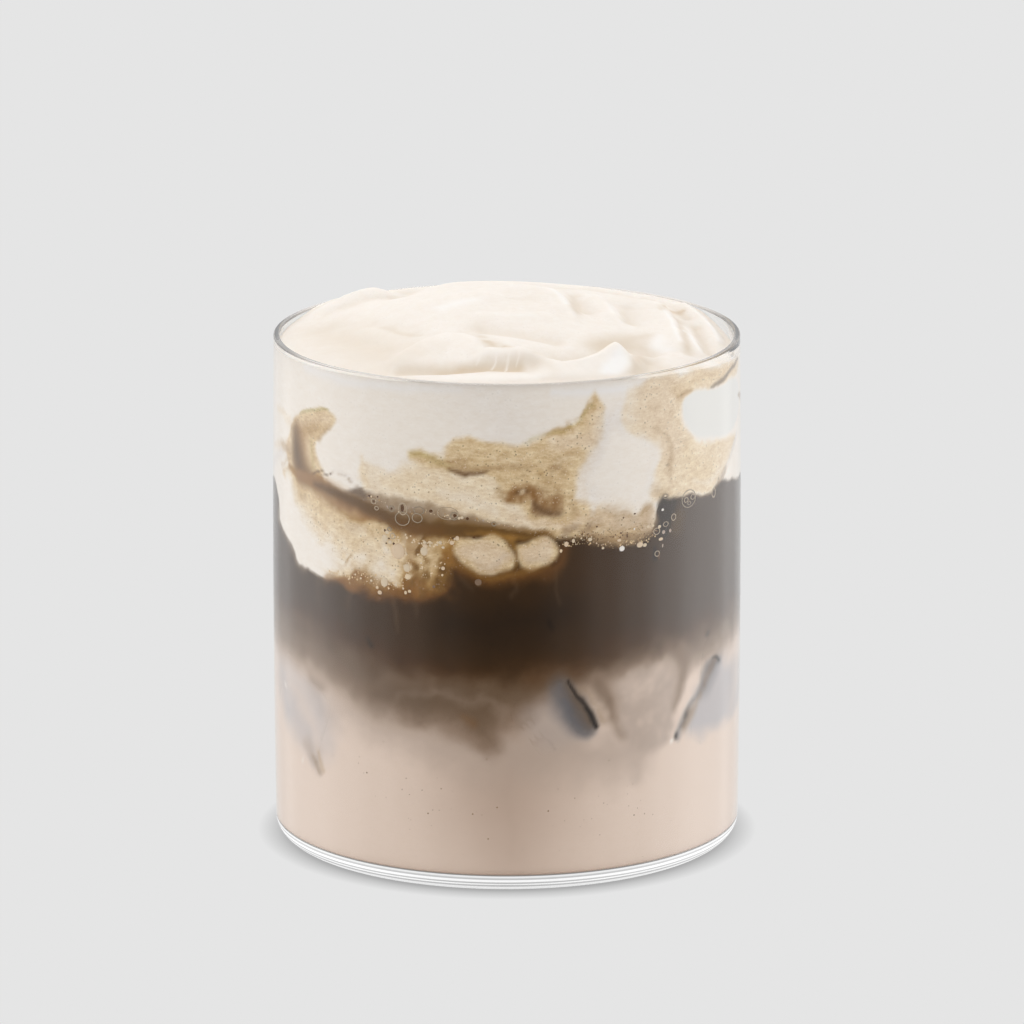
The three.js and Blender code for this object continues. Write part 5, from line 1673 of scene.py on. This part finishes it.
class LATTE_OT_ice(bpy.types.Operator):
    """Adds the ice cubes whose faces touch the wall"""

    bl_idname = "latte.ice"
    bl_label = "Add Ice"

    def execute(self, context):
        detail = context.scene.latte_detail
        bm = bmesh.new()
        for place, height, size, turn in ICE_CUBES:
            cube = bmesh.new()
            bmesh.ops.create_cube(cube, size=size)
            bmesh.ops.bevel(
                cube, geom=cube.edges, offset=detail.ice_bevel, segments=ICE_EDGE_STEPS, profile=0.5,
                affect="EDGES", material=-1,
            )
            flat = [edge for edge in cube.edges if edge.calc_length() > size / 2]
            bmesh.ops.subdivide_edges(cube, edges=flat, cuts=detail.ice_cuts, use_grid_fill=True)
            sunk = Matrix.Translation((0, 0.5 * size - ICE_DIP, 0))
            turned = wall_matrix(place, height, 1, 1, 1) @ sunk @ Matrix.Rotation(math.radians(turn), 4, "Y")
            bmesh.ops.transform(cube, matrix=turned, verts=cube.verts)
            for vert in cube.verts:
                flush = (skin_radius(vert.co.z) + ICE_PROUD) / math.hypot(vert.co.x, vert.co.y)
                if flush < 1:
                    vert.co.x, vert.co.y = vert.co.x * flush, vert.co.y * flush
            bmesh.ops.recalc_face_normals(cube, faces=cube.faces)
            move_into(bm, cube)
        piece = finish_piece("ice_cubes", bm, [wetted_wall("ice")], None)
        paint_drink(context.scene, piece.data)
        return {"FINISHED"}


def studio_ring(tree, place, levels):
    """Brightness round the object, from a ramp that holds it as shares of STUDIO_SCALE."""
    shares = [((cosine + 1) / 2, level / STUDIO_SCALE) for cosine, level in levels]
    return tree.math("MULTIPLY", tree.greys(place, shares, "EASE"), STUDIO_SCALE)


def studio_world():
    """Soft light from all round, which the camera itself sees as a plain pale background."""
    world = bpy.data.worlds.new("studio")
    bpy.context.scene.world = world
    world.use_nodes = True
    tree = Tree(world.node_tree)
    direction = tree.add("TexCoord").outputs["Generated"]
    x, y, z = tree.add("SeparateXYZ", {0: direction}).outputs
    flat = tree.math("SQRT", tree.math("MULTIPLY_ADD", y, y, tree.math("MULTIPLY", x, x)))
    forward = tree.math("DIVIDE", tree.math("MULTIPLY", y, -1), flat)
    place = tree.math("MULTIPLY_ADD", forward, 0.5, 0.5)
    leaning = tree.math("MULTIPLY_ADD", x, RIGHT_BIAS, 1)
    low = tree.math("MULTIPLY", studio_ring(tree, place, LOW_STUDIO), leaning)
    sides = tree.mix(tree.smooth_range(z, *HORIZON), low, studio_ring(tree, place, HIGH_STUDIO))
    dome = tree.mix(tree.smooth_range(z, *CEILING_EDGE), sides, CEILING)
    toward_key = tree.vector_math("DOT_PRODUCT", direction, KEY_DIRECTION)["Value"]
    dome = tree.math("ADD", dome, tree.smooth_range(toward_key, *KEY_EDGE, 0, KEY_STRENGTH))
    seen = tree.mix(tree.add("LightPath").outputs["Is Camera Ray"], dome, FLOOR_GLOW)
    background = tree.nodes["Background"]
    tree.feed(background.inputs["Strength"], seen)
    tree.feed(background.inputs["Color"], (1, 1, 1, 1))


def floor_material():
    """An evenly glowing pale floor, with a narrow soft shadow painted from ambient occlusion where the glass
    stands on it.
    """
    material, tree, shader = new_material("studio floor", {})
    tree.nodes.remove(shader)
    light = tree.add("AmbientOcclusion", {"Distance": CONTACT_REACH}, samples=CONTACT_SAMPLES).outputs["AO"]
    darkest = FLOOR_GLOW * CONTACT_SHADOW
    shade = tree.add("MapRange", {"Value": light, "To Min": darkest, "To Max": FLOOR_GLOW})
    glow = tree.add("Emission", {"Color": (1, 1, 1, 1), "Strength": shade.outputs["Result"]})
    tree.feed(tree.nodes["Material Output"].inputs["Surface"], glow.outputs[0])
    return material


class LATTE_OT_stage(bpy.types.Operator):
    """Adds the studio floor, the soft light and the camera"""

    bl_idname = "latte.stage"
    bl_label = "Add Stage"

    def execute(self, context):
        stage = context.scene.latte_stage
        bm = bmesh.new()
        bmesh.ops.create_circle(bm, cap_ends=True, segments=FLOOR_STEPS, radius=stage.floor_radius)
        mesh = bpy.data.meshes.new("studio_floor")
        bm.to_mesh(mesh)
        bm.free()
        mesh.materials.append(floor_material())
        floor = bpy.data.objects.new("studio_floor", mesh)
        context.scene.collection.objects.link(floor)
        floor.visible_glossy = False
        studio_world()
        data = bpy.data.cameras.new("camera")
        data.lens = stage.lens
        data.sensor_width = SENSOR_WIDTH
        data.clip_end = VIEW_DEPTH
        camera = bpy.data.objects.new("camera", data)
        context.scene.collection.objects.link(camera)
        camera.location = (stage.aside, -stage.distance, stage.height)
        camera.rotation_euler = (math.pi / 2 - stage.pitch, 0, 0)
        context.scene.camera = camera
        context.scene.view_settings.view_transform = "Standard"
        return {"FINISHED"}


STEPS = ("stage", "tumbler", "milk", "tea", "cream", "ice", "bubbles", "froth", "powder")


class LATTE_PT_panel(bpy.types.Panel):
    bl_idname = "LATTE_PT_panel"
    bl_label = "Layered Latte"
    bl_space_type = "VIEW_3D"
    bl_region_type = "UI"
    bl_category = "Latte"

    def draw(self, context):
        for step in STEPS:
            self.layout.operator("latte." + step)
        for group in SETTINGS:
            settings = getattr(context.scene, group)
            for name in settings.__annotations__:
                self.layout.prop(settings, name)


SETTINGS = {
    "latte_tumbler": TumblerSettings,
    "latte_drink": DrinkSettings,
    "latte_detail": DetailSettings,
    "latte_colours": ColourSettings,
    "latte_stage": StageSettings,
}
CLASSES = (
    *SETTINGS.values(),
    LATTE_OT_tumbler,
    LATTE_OT_milk,
    LATTE_OT_tea,
    LATTE_OT_cream,
    LATTE_OT_ice,
    LATTE_OT_bubbles,
    LATTE_OT_froth,
    LATTE_OT_powder,
    LATTE_OT_stage,
    LATTE_PT_panel,
)


def register():
    for cls in CLASSES:
        bpy.utils.register_class(cls)
    for name, settings in SETTINGS.items():
        setattr(bpy.types.Scene, name, PointerProperty(type=settings))


def unregister():
    for name in SETTINGS:
        delattr(bpy.types.Scene, name)
    for cls in reversed(CLASSES):
        bpy.utils.unregister_class(cls)


def main():
    register()
    for step in STEPS:
        getattr(bpy.ops.latte, step)()


if __name__ == "__main__":
    main()
